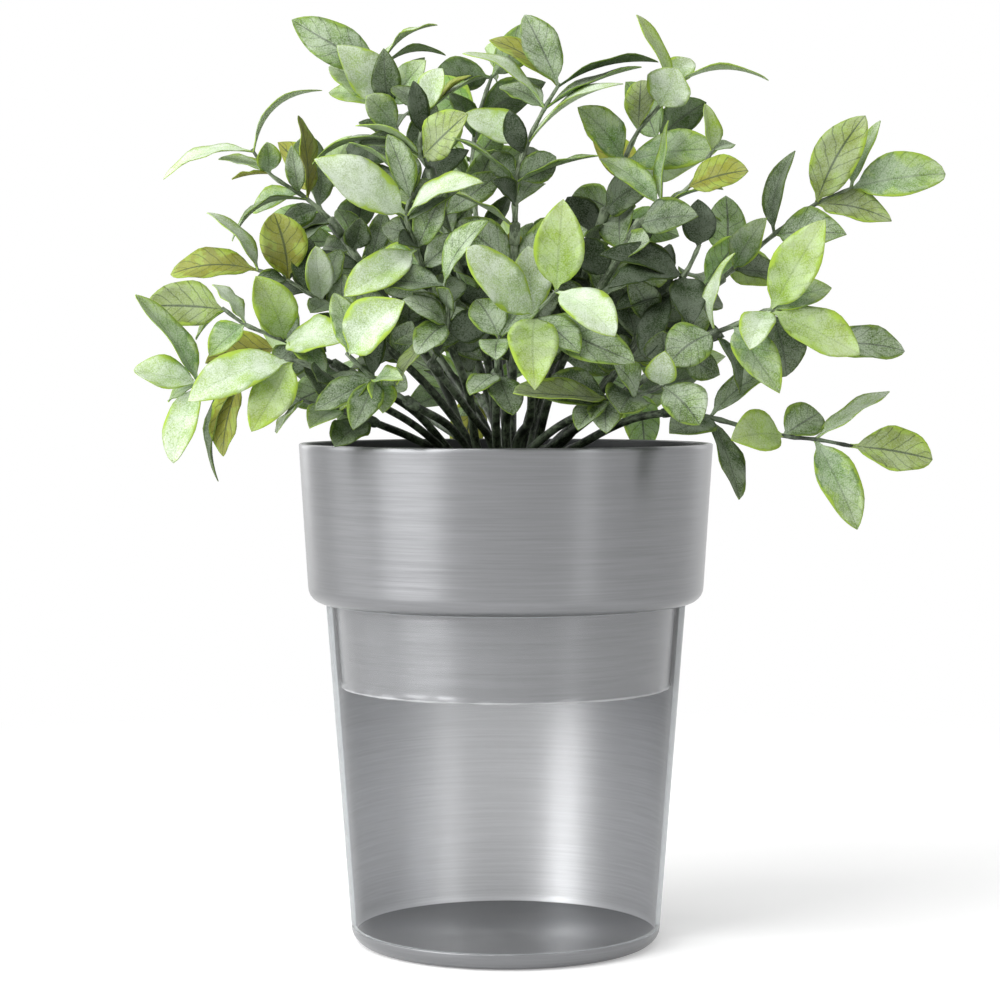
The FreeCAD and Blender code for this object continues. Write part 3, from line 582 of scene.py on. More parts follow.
def clear_front():
    """The section that fills the window, with a hair's breadth of room around it."""
    wall = divided([(wall_outside[0], SILL_HEIGHT + CLEARANCE), mouth_outside,
                    (53.6, POT_HEIGHT - CLEARANCE), (52.5, POT_HEIGHT - CLEARANCE),
                    mouth_inside, (wall_inside[0], SILL_HEIGHT + CLEARANCE)], CLEAR_LINE_STEP)
    count = len(wall)
    half_angle = WINDOW_HALF_ANGLE - SIDE_ROOM
    points = []
    for k in range(CLEAR_STEPS + 1):
        angle = radians(-90 - half_angle + 2 * half_angle * k / CLEAR_STEPS)
        points += [(r * cos(angle), r * sin(angle), z) for r, z in wall]
    # Kinds are 0 for the two faces of the wall and 1 for its edges
    faces, kinds = [], []
    for k in range(CLEAR_STEPS):
        for a in range(count):
            b = (a + 1) % count
            faces.append((k * count + a, (k + 1) * count + a,
                          (k + 1) * count + b, k * count + b))
            at_top = min(wall[a][1], wall[b][1]) > POT_HEIGHT - 0.5
            kinds.append(1 if at_top or b == 0 else 0)
    caps = [len(faces), len(faces) + 1]
    faces.append(tuple(range(count)))
    faces.append(tuple(CLEAR_STEPS * count + a for a in reversed(range(count))))
    kinds += [1, 1]
    return mesh_piece("lower_pot_clear_front", points, faces, [CLEAR_WALL, CLEAR_EDGE],
                      "pot", kinds, flat_faces=caps)


lower_pot_clear_front = clear_front()
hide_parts("lower_pot")
print("lower_pot_clear_front", len(lower_pot_clear_front.data.polygons), "faces")

# %% [markdown]
# ## Foam and pick
# The bush stands in a plug of green dry foam, cut to fit and crumbly on top. Only its top
# shows, between the stems, so a turned piece with a rough top does it. The pick that gathers
# the stems keeps its CAD shape and gets the plastic of the stems.

# %% Material of the foam
FOAM_CELL = 0.9 * MM
FOAM_CLOUD = 4 * MM
CELL_DEPTH = 0.4 * MM


def dry_foam(name):
    """Phenolic dry foam, foamed and cut: matt, open-celled, dark green."""
    material, tree = new_material(name)
    where = add_node(tree, "TexCoord")
    cells = add_node(tree, "TexVoronoi", sockets={
        "Vector": where.outputs["Object"], "Scale": 1 / FOAM_CELL})
    shade = add_node(tree, "TexNoise", sockets={
        "Vector": where.outputs["Object"], "Scale": 1 / FOAM_CLOUD, "Detail": 4.0})
    paint = add_node(tree, "Mix", COLOURS, {
        0: shade.outputs["Fac"], 6: linear("#171c14"), 7: linear("#39432f")})
    pores = add_node(tree, "Bump", sockets={
        "Strength": 0.9, "Distance": CELL_DEPTH, "Height": cells.outputs["Distance"]})
    # Open cells swallow the gloss, so hardly any of the mirror light is left
    shader = add_node(tree, "BsdfPrincipled", sockets={
        "Base Color": paint.outputs[2], "Roughness": 0.95, "Specular IOR Level": 0.2,
        "Normal": pores.outputs[0]})
    finish_material(tree, shader.outputs[0])
    return material


# %% Foam
FOAM_TOP = 126.0
FOAM_RADIUS = 57.3
FOAM_FOOT_RADIUS = 47.25
CRUMB = 3 * MM


def foam_piece():
    """The plug, with crumbs and dents a millimetre or so deep in its top."""
    outline = [(0, FLOOR_TOP), (FOAM_FOOT_RADIUS, FLOOR_TOP), (FOAM_FOOT_RADIUS, LEDGE_TOP - 0.1),
               (FOAM_RADIUS, LEDGE_TOP + 0.1), (FOAM_RADIUS, FOAM_TOP - 0.8)]
    outline += [(r, FOAM_TOP) for r in range(56, 0, -2)] + [(0, FOAM_TOP)]
    piece = turned_piece("foam_top", outline, lambda r, angle, z: r, [dry_foam("dry_foam")],
                         "planter")
    for vertex in piece.data.vertices:
        if vertex.co.z > (FOAM_TOP - 1) * MM:
            crumbs = noise.fractal(vertex.co / CRUMB, 1.0, 2.0, 4)
            vertex.co.z -= (0.7 + 0.6 * max(-1, min(1, crumbs))) * MM
    return piece


foam_top = foam_piece()
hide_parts("foam_plug")
print("foam_top", len(foam_top.data.polygons), "faces")

# %% [markdown]
# ## Plastic of the stems
# Stems and twigs are moulded polyethylene around a wire. They are dyed nearly black at the
# foot, and sprayed with a pale frosting from above, so they turn grey-green higher up. The
# moulding leaves streaks along a stem. Noise in space would cut across them, so they are drawn
# on a map that is laid along the stem, and only the blotches of the spray are drawn in space.

# %% Material of the stems
DARK_UP_TO = 148 * MM
PALE_FROM = 215 * MM
STEM_BLOTCH = 6 * MM
STEM_GRAIN = 0.2 * MM
# A stem's map rises by 1 in this many mm along it, and goes from 0 to 1 in half a turn
STEM_MAP_LENGTH = 100
# Grains are about this long in mm, and this many lie side by side in half a turn
GRAIN_LENGTH = 2.2
GRAINS_ROUND = 5


def stem_polyethylene(name):
    """Dyed polyethylene, darkest low down, frosted in streaks higher up."""
    material, tree = new_material(name)
    where = add_node(tree, "TexCoord")
    place = add_node(tree, "SeparateXYZ", sockets={0: where.outputs["Object"]})
    height = add_node(tree, "MapRange", SMOOTHLY, {
        "Value": place.outputs["Z"], "From Min": DARK_UP_TO, "From Max": PALE_FROM})
    blade = add_node(tree, "UVMap", {"uv_map": "blade"})
    stretched = add_node(tree, "Mapping", sockets={
        "Vector": blade.outputs[0], "Scale": (STEM_MAP_LENGTH / GRAIN_LENGTH, GRAINS_ROUND, 1)})
    blotches = add_node(tree, "TexNoise", sockets={
        "Vector": where.outputs["Object"], "Scale": 1 / STEM_BLOTCH, "Detail": 2.0})
    grain = add_node(tree, "TexNoise", sockets={
        "Vector": stretched.outputs[0], "Scale": 1.0, "Detail": 5.0, "Roughness": 0.75})
    streaks = add_node(tree, "Mix", sockets={
        0: 0.4, 2: grain.outputs["Fac"], 3: blotches.outputs["Fac"]})
    frost = add_node(tree, "MapRange", SMOOTHLY, {
        "Value": streaks.outputs[0], "From Min": 0.44, "From Max": 0.60, "To Max": 0.85})
    low = add_node(tree, "Mix", COLOURS, {
        0: frost.outputs[0], 6: linear("#172012"), 7: linear("#6c7b62")})
    high = add_node(tree, "Mix", COLOURS, {
        0: frost.outputs[0], 6: linear("#3d4b30"), 7: linear("#96a586")})
    paint = add_node(tree, "Mix", COLOURS, {
        0: height.outputs[0], 6: low.outputs[2], 7: high.outputs[2]})
    rough = add_node(tree, "Bump", sockets={
        "Strength": 0.5, "Distance": STEM_GRAIN, "Height": grain.outputs["Fac"]})
    # Polyethylene's index of 1.5 and a middling roughness give its waxy sheen
    shader = add_node(tree, "BsdfPrincipled", sockets={
        "Base Color": paint.outputs[2], "Roughness": 0.5, "IOR": 1.5,
        "Normal": rough.outputs[0]})
    finish_material(tree, shader.outputs[0])
    return material


STEM_PLASTIC = stem_polyethylene("frosted_stem_polyethylene")
bush_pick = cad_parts["bush_pick"]
bush_pick.data.materials.clear()
bush_pick.data.materials.append(STEM_PLASTIC)
print(len(STEM_PLASTIC.node_tree.nodes), "nodes in the plastic of the stems")

# %% [markdown]
# ## Plastic of the leaves
# The leaves are moulded from soft green polyethylene. A printed coat gives each one a dark or
# light green, patches of bright yellow-green and a thin pale margin. A whitish frosting is
# sprayed over it in fine specks. The mesh hands the material three things: a base colour, a
# set of marks that say how much frosting, patches, veins and margin a leaf has, and a flat map
# of the blade. Along the map runs the midrib, and the side veins lean forward across it. Each
# layer of the real coat is a function here, and the last function lays them over each other.


# %% Map of a leaf
def leaf_map(tree):
    """Where a point lies on its blade: 0 to 1 along it, and 0 to 1 from midrib to margin."""
    blade = add_node(tree, "UVMap", {"uv_map": "blade"})
    on_blade = add_node(tree, "SeparateXYZ", sockets={0: blade.outputs[0]})
    across = add_node(tree, "Math", TIMES_AND_PLUS, {0: on_blade.outputs["Y"], 1: 2.0, 2: -1.0})
    across = add_node(tree, "Math", {"operation": "ABSOLUTE"}, {0: across.outputs[0]})
    return on_blade.outputs["X"], across.outputs[0]


# %% Dye, and the yellow-green of tips and patches
def leaf_dye(tree, cloud, along, across, patching):
    """The base colour with the broad unevenness of the dye, and its yellow-green parts."""
    tint = add_node(tree, "Attribute", {"attribute_name": "leaf_tint"})
    dye = add_node(tree, "MapRange", sockets={
        "Value": cloud, "From Min": 0.3, "From Max": 0.7, "To Min": 0.78, "To Max": 1.18})
    paint = add_node(tree, "Mix", COLOURS_TIMES, {
        0: 1.0, 6: tint.outputs["Color"], 7: dye.outputs[0]})
    # Towards the tip the green turns yellower
    tipward = add_node(tree, "MapRange", SMOOTHLY, {
        "Value": along, "From Min": 0.25, "From Max": 1.0, "To Max": 0.55})
    tipward = add_node(tree, "Math", TIMES, {0: tipward.outputs[0], 1: patching})
    paint = add_node(tree, "Mix", COLOURS, {
        0: tipward.outputs[0], 6: paint.outputs[2], 7: linear("#9fae58")})
    # Patches, mostly near the margins
    edge = add_node(tree, "Math", TIMES_AND_PLUS, {0: across, 1: 0.28, 2: cloud})
    patch = add_node(tree, "MapRange", SMOOTHLY, {
        "Value": edge.outputs[0], "From Min": 0.68, "From Max": 0.74})
    patch = add_node(tree, "Math", TIMES, {0: patch.outputs[0], 1: patching})
    paint = add_node(tree, "Mix", COLOURS, {
        0: patch.outputs[0], 6: paint.outputs[2], 7: linear("#93b045")})
    return paint.outputs[2]


# %% Veins
SIDE_VEINS = 7.0
SIDE_VEIN_STRENGTH = 0.7


def leaf_veins(tree, cloud, along, across):
    """1 on the midrib, less on the side veins, and 0 between them."""
    lean = add_node(tree, "Math", TIMES_AND_PLUS, {0: across, 1: -0.26, 2: along})
    lean = add_node(tree, "Math", TIMES_AND_PLUS, {0: cloud, 1: 0.12, 2: lean.outputs[0]})
    lean = add_node(tree, "Math", TIMES, {0: lean.outputs[0], 1: SIDE_VEINS})
    vein = add_node(tree, "Math", {"operation": "PINGPONG"}, {0: lean.outputs[0], 1: 0.5})
    vein = add_node(tree, "MapRange", SMOOTHLY, {
        "Value": vein.outputs[0], "From Min": 0.02, "From Max": 0.09,
        "To Min": SIDE_VEIN_STRENGTH, "To Max": 0.0})
    rib = add_node(tree, "MapRange", SMOOTHLY, {
        "Value": across, "From Min": 0.02, "From Max": 0.08, "To Min": 1.0, "To Max": 0.0})
    vein = add_node(tree, "Math", LARGER, {0: vein.outputs[0], 1: rib.outputs[0]})
    return vein.outputs[0]


# %% Frosting
# The finest specks of the real coat would not show at this distance, so they are coarser
FROST_SPECK = 0.4 * MM
FROST_DRIFT = 6 * MM


def leaf_frosting(tree, where, across):
    """The specks, the frosting that they make in drifts, and how far out a point lies."""
    specks = add_node(tree, "TexNoise", sockets={
        "Vector": where, "Scale": 1 / FROST_SPECK, "Detail": 3.0, "Roughness": 0.65})
    drift = add_node(tree, "TexNoise", sockets={
        "Vector": where, "Scale": 1 / FROST_DRIFT, "Detail": 3.0})
    frost = add_node(tree, "Math", TIMES_AND_PLUS, {
        0: drift.outputs["Fac"], 1: 0.7, 2: specks.outputs["Fac"]})
    frost = add_node(tree, "MapRange", SMOOTHLY, {
        "Value": frost.outputs[0], "From Min": 0.58, "From Max": 1.08})
    # Measured from the midrib out, but with a ragged line where the coat's margin runs
    ragged = add_node(tree, "Math", TIMES_AND_PLUS, {
        0: drift.outputs["Fac"], 1: -0.9, 2: across})
    return specks.outputs["Fac"], frost.outputs[0], ragged.outputs[0]


def frost_left(tree, ragged, shade):
    """How much of the frosting is left: it is rubbed off the margins and the veins."""
    bare = add_node(tree, "MapRange", SMOOTHLY, {
        "Value": ragged, "From Min": 0.28, "From Max": 0.48})
    left = add_node(tree, "Math", TIMES_AND_PLUS, {0: bare.outputs[0], 1: -0.75, 2: 1.0})
    left = add_node(tree, "Math", TIMES_AND_PLUS, {0: shade, 1: -0.5, 2: left.outputs[0]})
    left = add_node(tree, "Math", LARGER, {0: left.outputs[0], 1: 0.0})
    return left.outputs[0]


# %% Material of the leaves
DYE_CLOUD = 5 * MM
LEAF_RELIEF = 0.15 * MM


def leaf_polyethylene(name):
    """Printed and frosted soft polyethylene leaves."""
    material, tree = new_material(name)
    where = add_node(tree, "TexCoord").outputs["Object"]
    marks = add_node(tree, "Attribute", {"attribute_name": "leaf_marks"})
    amount = add_node(tree, "SeparateColor", sockets={0: marks.outputs["Color"]})
    frosting, patching, veining = (amount.outputs[k] for k in range(3))
    along, across = leaf_map(tree)
    cloud = add_node(tree, "TexNoise", sockets={
        "Vector": where, "Scale": 1 / DYE_CLOUD, "Detail": 3.0}).outputs["Fac"]
    paint = leaf_dye(tree, cloud, along, across, patching)
    # Dark veins
    vein = leaf_veins(tree, cloud, along, across)
    shade = add_node(tree, "Math", TIMES, {0: vein, 1: veining})
    paint = add_node(tree, "Mix", COLOURS, {
        0: shade.outputs[0], 6: paint, 7: linear("#39442f")})
    # Whitish frosting
    specks, frost, ragged = leaf_frosting(tree, where, across)
    frost = add_node(tree, "Math", TIMES, {0: frost, 1: frosting})
    frost = add_node(tree, "Math", TIMES, {
        0: frost.outputs[0], 1: frost_left(tree, ragged, shade.outputs[0])})
    paint = add_node(tree, "Mix", COLOURS, {
        0: frost.outputs[0], 6: paint.outputs[2], 7: linear("#cfdac9")})
    # Lime margin, of uneven width
    margin = add_node(tree, "MapRange", SMOOTHLY, {
        "Value": ragged, "From Min": 0.47, "From Max": 0.54})
    margin = add_node(tree, "Math", TIMES, {0: margin.outputs[0], 1: marks.outputs["Alpha"]})
    paint = add_node(tree, "Mix", COLOURS, {
        0: margin.outputs[0], 6: paint.outputs[2], 7: linear("#9ab544")})
    # Relief: sunken veins and the grain of the frosting
    relief = add_node(tree, "Math", TIMES_AND_PLUS, {0: vein, 1: -1.2, 2: specks})
    relief = add_node(tree, "Bump", sockets={
        "Strength": 0.35, "Distance": LEAF_RELIEF, "Height": relief.outputs[0]})
    # Polyethylene's index of 1.5, with most of its sheen dulled by the frosting
    shader = add_node(tree, "BsdfPrincipled", sockets={
        "Base Color": paint.outputs[2], "Roughness": 0.65, "IOR": 1.5,
        "Specular IOR Level": 0.12, "Normal": relief.outputs[0]})
    finish_material(tree, shader.outputs[0])
    return material


LEAF_PLASTIC = leaf_polyethylene("frosted_leaf_polyethylene")
print(len(LEAF_PLASTIC.node_tree.nodes), "nodes in the plastic of the leaves")

# %% [markdown]
# ## Colours of the leaves
# The real leaves come in some nine colourings. The nearly black greens of the leaves deep inside
# are partly their dye and partly painted shade, and the pale frosted greens at the front partly
# frosting and partly painted light. Each gets a letter, and the plan below gives one to each leaf.

# %% Colours of the leaves
# Letter: base colour, then how much frosting, yellow patches, dark veins and lime margin
LEAF_COLOURS = {
    # D and K, the darkest, are partly painted shade, and P and W, the palest, partly painted light
    "D": ("#2f4812", 0.32, 0.10, 0.90, 0.25), "K": ("#1c2e0a", 0.16, 0.00, 0.60, 0.10),
    "N": ("#57742f", 0.60, 0.15, 0.90, 0.40), "G": ("#5f8535", 0.52, 0.60, 0.50, 0.90),
    "Y": ("#85a23c", 0.42, 0.80, 0.25, 1.00), "P": ("#94af70", 0.92, 0.55, 0.20, 0.95),
    "W": ("#abc192", 1.00, 0.50, 0.15, 0.95), "O": ("#83852b", 0.12, 0.45, 0.80, 0.60),
    "S": ("#7a8b43", 0.32, 0.45, 0.90, 0.85),
}
# The small leaves deep inside draw theirs from these, mostly dark, partly painted shade
INNER_COLOURS_WITH_PAINTED_SHADE = "DKDNKDGKNDDN"
print(len(LEAF_COLOURS), "colourings of leaves")

# %% [markdown]
# ## The plan of the bush
# The bush has 28 wired stems, each with a moulded sprig slipped over its end. The plan is the
# one that the CAD part uses, with one letter more for each leaf: its colour. Scattering leaves
# at random would be quicker to write, but no leaf would then be where the real one is.

# %% Plan of the bush
# Each branch is (ring, slot) of the socket that its stem stands in, the way that its leaves
# face, the bends of the stem, the bends of its sprig, the sprig's leaves and their colours.
# The last bend of a stem is where the sprig's sleeve slips over the stem's peg.
# A leaf is the bend of the sprig that it grows from, where its tip is, its breadth and
# the turn of its blade, and after them how much it arches, where that is unusual.
# Places are in mm from the middle of the rim: across, towards the back, and up. They are
# read square on from the front, at the depth of the pot's middle.
# Leaves at the front face the viewer and up, those at the back face away and up.
FRONT = (0.0, -0.9, 0.44)
BACK = (0.0, 0.8, 0.6)
BRANCHES = {
    "01": ((1, 4), FRONT,
           [(-12, 4, 0), (-17, 4, 14), (-33, 5, 39), (-49, 6, 62)],
           [(-60, 5, 73.5), (-71.5, 3, 81.5), (-76, 2, 88)],
           [(0, -62, 9, 64, 8, 25), (0, -63, 0, 57, 8, 40),
            (1, -82, 0, 60.5, 10, 60, 0.2), (1, -62, 5, 98, 10, 65),
            (2, -86, 3, 85, 9, 45), (2, -71.5, -3, 90, 7, 10), (2, -82, 6, 79, 7, 60),
            (3, -102.5, 0, 79, 9, 42, 0.14), (3, -55, 1, 105.5, 9, 68, 0.2)],
           "DDNOPGOWW"),
    "02": ((1, 5), FRONT,
           [(-11, -1, 0), (-20, -8, 13), (-39, -18, 32)],
           [(-56, -24, 43), (-66, -25, 49), (-75, -23, 52)],
           [(1, -57, -30, 59, 8, 15), (1, -50, -14, 58, 9, 20), (2, -69.5, -28, 69, 13, 0),
            (2, -66, -19, 62, 9, 30), (3, -89.5, -22, 69, 10, 55), (3, -100.5, -22, 50.5, 11, 10)],
           "WDODPO"),
    "03": ((2, 5), FRONT,
           [(-17, -3, -2), (-27, -15, 9), (-47, -27, 21)],
           [(-67, -36, 31), (-79, -36, 36), (-85, -34, 40.5)],
           [(1, -75, -44, 50, 11.5, 0), (1, -48, -52, 31, 14.5, 0), (2, -88, -36, 47.5, 8, 50),
            (2, -89, -38, 26, 9.5, 10), (3, -108.5, -36, 41, 13.5, 0, -0.04), (3, -93, -30, 31, 7, 50)],
           "YPWGSG"),
    "04": ((2, 7), FRONT,
           [(-17, -10, -4), (-27, -24, 5), (-45, -42, 15)],
           [(-65, -54, 25), (-80, -50, 19.5), (-93, -46, 17.5)],
           [(1, -95.5, -62, 12.5, 12.5, 0), (1, -76.5, -64, 3.5, 11, 0), (2, -85, -50, -4, 9, 35),
            (2, -86.5, -42, -11.5, 8, 60, 0.15), (3, -111.5, -44, 44.5, 9, 40),
            (3, -112, -48, 22, 10.5, 10), (3, -101, -40, 13, 9.5, 25), (3, -100, -52, -6, 9.5, 20)],
           "PYODGPGP"),
    "05": ((2, 6), FRONT,
           [(-16, -6, -5), (-27, -15, 1), (-39, -32, 6)],
           [(-51, -41, 10), (-62, -43, 13)],
           [(0, -51.5, -52, -1, 10, 10), (0, -55, -28, 15, 10, 20), (1, -33, -60, 17, 7, 20),
            (1, -59, -54, 4.5, 9, 20), (2, -69.5, -38, 9, 8, 30), (2, -69, -50, 3, 7, 60)],
           "DDYGDP"),
    "06": ((0, 2), FRONT,
           [(-3, -1, 4), (-7, -5, 20), (-20, -11, 52), (-27, -14, 76)],
           [(-32, -14, 91), (-35, -13, 101.5), (-38, -12, 113)],
           [(1, -44, -10, 96, 9, 30), (2, -50.5, -18, 119, 12, 0), (2, -53, -7, 112.5, 10, 10),
            (2, -36.5, -22, 118, 8, 10), (2, -24, -19, 114.5, 10, 5),
            (3, -64, -14, 126.5, 12, -15), (3, -20.5, -12, 125, 9, 60, 0.15),
            (3, -18, -5, 116, 8, 65, 0.15)],
           "DPGDGNPN"),
    "07": ((0, 3), FRONT,
           [(-3, -4, 4), (-5, -13, 22), (-15, -25, 55), (-21, -29, 76)],
           [(-25.5, -34, 86), (-23.5, -30, 100)],
           [(1, -11.5, -46, 98.5, 13.5, 0), (1, -45, -38, 95, 9, 65, 0.12), (1, -58, -30, 83.5, 9, 60, 0.2),
            (2, -19, -35, 112, 8.5, 20), (2, -10.5, -28, 110, 8, 55), (2, -6.5, -21, 109.5, 8, 55),
            (2, -34, -24, 106.5, 9, 20)],
           "SPNPOND"),
    "08": ((1, 6), FRONT,
           [(-9, -8, 0), (-11, -22, 14), (-20, -41, 37)],
           [(-27, -54, 59), (-30, -58, 69), (-28, -56, 75)],
           [(1, -48.5, -67, 44, 11, 0), (1, -18, -60, 76, 9, 10), (2, -57.5, -68, 85, 16, 0),
            (2, -7, -68, 78, 10, 35, 0.12), (3, -47, -52, 90, 8, 65), (3, -32, -46, 88, 8, 20)],
           "PNWWND"),
    "09": ((1, 7), FRONT,
           [(-4, -11, -1), (-10, -26, 8), (-20, -48, 21)],
           [(-17.5, -60, 36), (-18.5, -64, 48)],
           [(2, -40, -57, 49, 10, 15), (2, -5.5, -73, 66.5, 9, 30, 0.15),
            (1, -27, -74, 26.5, 8, 10), (1, -33, -66, 17.5, 8, 50), (1, -31, -66, 43, 8, 20)],
           "DNNSN"),
    "10": ((2, 8), FRONT,
           [(-10, -14, -5), (-16, -28, 4), (-27, -49, 11)],
           [(-40, -60, 19.5), (-48, -64, 27)],
           [(2, -30.5, -74, 42.5, 14.5, 0), (1, -37, -66, 9, 8, 20), (1, -31, -72, 19, 6, 10),
            (2, -51.5, -48, 45, 8, 20), (1, -46, -74, 4, 9, 10)],
           "PGGGD"),
    "11": ((0, 4), FRONT,
           [(0, -6, 4), (2, -19, 19), (2, -31, 43), (2.5, -36, 59.5)],
           [(3, -38, 79), (7, -36, 91), (12, -34, 101), (16, -32, 107.5)],
           [(0, -16, -46, 75, 8, 60), (1, -16, -48, 91.5, 8, 58), (1, 27.5, -48, 86, 8, 58),
            (2, -12.5, -30, 98.5, 10, 10), (2, 35, -40, 107.5, 9, 55),
            (3, -13, -38, 116.5, 9, 45, 0.12), (3, 40.5, -30, 112.5, 9, 55), (3, -2, -26, 106.5, 8, 20),
            (4, 5.5, -34, 128, 10.5, 5), (4, -5, -26, 120.5, 8.5, 20), (4, 45.5, -24, 114, 8, 66)],
           "PNNPWPNNNOD"),
    "12": ((0, 0), FRONT,
           [(6, -1, 4), (11, -8, 20), (21, -14, 43), (28, -18, 64)],
           [(35.5, -18, 85), (40, -18, 94), (46, -18, 101), (50, -18, 107.5)],
           [(0, 45.5, -30, 79, 12, 10), (1, 21.5, -26, 100.5, 11, 10), (1, 63.5, -29, 88, 13, 0),
            (2, 40.5, -12, 108.5, 9, 20), (3, 51.5, -24, 112, 14, 0, 0.03),
            (4, 39, -16, 128, 8, 45), (4, 55, -12, 115, 9, 10), (4, 78.5, -20, 108.5, 9, 60, 0.15)],
           "DGGSPYPP"),
    "13": ((1, 0), FRONT,
           [(10, -4, 2), (14, -17, 17), (28, -31, 46), (37, -36, 61)],
           [(47, -36, 71), (55, -34, 77), (62, -32, 88)],
           [(0, 57.5, -47, 68, 11.5, 5), (1, 64.5, -34, 66.5, 7, 60), (1, 48.5, -28, 96.5, 7, 76),
            (1, 65, -27, 76, 6, 60), (1, 28, -28, 85, 9, 20), (2, 72.5, -40, 81.5, 12, 5),
            (3, 59.5, -30, 101.5, 7, 40), (3, 68, -26, 89.5, 6, 20)],
           "DNGGGOYN"),
    "14": ((1, 8), FRONT,
           [(3, -11, -1), (7, -29, 7), (7, -54, 25)],
           [(9, -68, 38.5), (15.5, -72, 46)],
           [(2, 17, -80, 73, 13.5, 0), (2, 32.5, -85, 32, 11.5, 0), (1, 38.5, -76, 24, 12.5, 0),
            (1, -12, -79, 58.5, 12.5, 0), (1, 6.5, -68, 59, 11, 15),
            (1, 8.5, -90, 16, 14, 0), (1, 22, -80, 27, 10, 20)],
           "YWNPPYN"),
    "15": ((2, 9), FRONT,
           [(-3, -17, -5), (-3, -33, 4), (-3, -58, 18)],
           [(-2, -70, 32)],
           [(1, 10, -57, 47, 11, 10), (1, -9, -63, 43, 10, 10), (0, 2, -72, 8.5, 9, 10),
            (0, -11, -74, 14.5, 8, 20), (1, -3, -85, 25, 8, 10)],
           "NNDNN"),
    "16": ((1, 9), FRONT,
           [(9, -7, -3), (15, -13, -1), (27.5, -25, 14), (39, -34, 30), (46.5, -38, 41)],
           [(53.5, -40, 50.5), (58, -40, 59.5)],
           [(1, 28, -46, 56.5, 9, 10), (1, 30.5, -52, 46.5, 9, 20), (2, 57.5, -44, 73, 9, 10),
            (1, 55, -52, 35, 9.5, 10), (0, 33, -44, 40, 7, 20), (0, 41.5, -48, 25.5, 8.5, 20)],
           "KKKKKK"),
    "17": ((2, 0), FRONT,
           [(15, -1, -2), (26, -5, 13), (43, -9, 34), (60, -12, 46)],
           [(68.5, -12, 52.5), (81, -14, 63), (93.5, -14, 72), (104, -14, 76.5)],
           [(1, 78, -19, 67.5, 9.5, 10), (1, 82.5, -5, 50.5, 11, 10), (2, 86.5, -12, 87.5, 9, 52),
            (2, 102, -22, 62.5, 13, 5), (3, 107.5, -19, 98, 13.5, 0), (3, 115.5, -20, 66.5, 10.5, 10),
            (4, 132, -17, 80.5, 13, 0), (4, 112, -8, 96.5, 8, 50)],
           "GDDNSSGG"),
    "18": ((2, 11), FRONT,
           [(10, -12, -5), (22, -25, 5), (43, -44, 20.5), (58, -50, 30)],
           [(69, -52, 35.5), (80, -54, 40), (93, -48, 28.5)],
           [(0, 68.5, -52, 57, 7, 66, 0.15), (0, 48.5, -59, 23.5, 12, 5), (0, 70, -44, 15, 7, 40),
            (1, 82, -63, 15, 11, 5), (2, 73, -67, 28, 9, 10), (2, 95.5, -65, 67, 14, 0),
            (2, 97.5, -49, 46.5, 9.5, 15), (2, 106, -63, 26.5, 11.5, 0), (2, 84, -47, 20, 13, 10),
            (3, 119.5, -46, 27.5, 10, 5)],
           "PNDGPYGYDN"),
    "19": ((2, 12), FRONT,
           [(15, -7, -5), (23, -18, 0), (41, -33, 8), (47, -36, 9)],
           [(62, -42, 7.5), (84, -44, 2), (93.5, -44, 1), (104, -44, -1)],
           [(1, 84, -38, 24, 8.5, 35), (1, 70, -54, -17, 8.5, 30), (1, 49, -54, 3, 12, 5),
            (2, 67.5, -56, 1, 12, 5), (2, 94, -36, 9, 11, 5), (3, 115, -40, 15.5, 8.5, 45),
            (3, 105.5, -50, -26, 10.5, 5), (4, 128, -46, -5, 14, 0)],
           "NDDYNPGS"),
    "20": ((2, 10), FRONT,
           [(5, -16, -5), (13, -31, 3), (28, -54, 11.5)],
           [(40, -62, 14.5), (47.5, -64, 17.5)],
           [(0, 9.5, -66, 14.5, 12, 10), (0, 30, -70, 3, 9, 10), (0, 21.5, -70, 4, 8, 20),
            (1, 32, -70, 24, 9, 10), (1, 34, -74, 9, 12, 10), (2, 47.5, -72, 27.5, 8, 10),
            (2, 58, -70, 5.5, 12, 10), (0, 2, -78, 15, 8, 30)],
           "DNNNDPNS"),
    "21": ((1, 3), BACK,
           [(-5, 12, 2), (-16, 24, 20), (-30, 36, 40)],
           [(-44, 47, 54), (-52, 53, 64), (-58, 55, 76)],
           [(1, -62, 54, 46, 11, 10), (1, -34, 62, 60, 11, 0), (2, -72, 60, 66, 12, 0),
            (2, -38, 62, 74, 11, 10), (3, -68, 64, 90, 12, 5), (3, -46, 60, 92, 10, 10),
            (3, -60, 42, 92, 10, 20)],
           "NPGDOPN"),
    "22": ((2, 4), BACK,
           [(-8, 17, -4), (-22, 33, 7), (-34, 45, 14)],
           [(-48, 57, 20), (-60, 63, 23), (-68, 66, 29)],
           [(1, -42, 76, 26, 11, 0), (1, -64, 52, 12, 11, 10), (2, -56, 82, 14, 12, 0),
            (2, -74, 60, 38, 10, 10), (3, -90, 68, 24, 12, 0), (3, -74, 80, 46, 12, 10)],
           "GNDPOG"),
    "23": ((0, 1), BACK,
           [(0, 7, 4), (-3, 18, 30), (-8, 30, 62)],
           [(-10, 38, 82), (-8, 43, 98), (-4, 45, 110)],
           [(1, -32, 44, 90, 12, 0), (1, 10, 50, 84, 12, 0), (2, -28, 52, 106, 12, 5),
            (2, 12, 48, 108, 11, 10), (3, -22, 56, 108, 11, 10), (3, 10, 44, 126, 10, 20),
            (3, -6, 60, 118, 11, 0)],
           "PNGDDNP"),
    "24": ((1, 2), BACK,
           [(2, 12, 2), (2, 27, 16), (0, 46, 34)],
           [(3, 62, 46), (5, 74, 56)],
           [(1, -18, 72, 44, 12, 0), (1, 24, 70, 50, 12, 0), (2, -12, 86, 64, 13, 0),
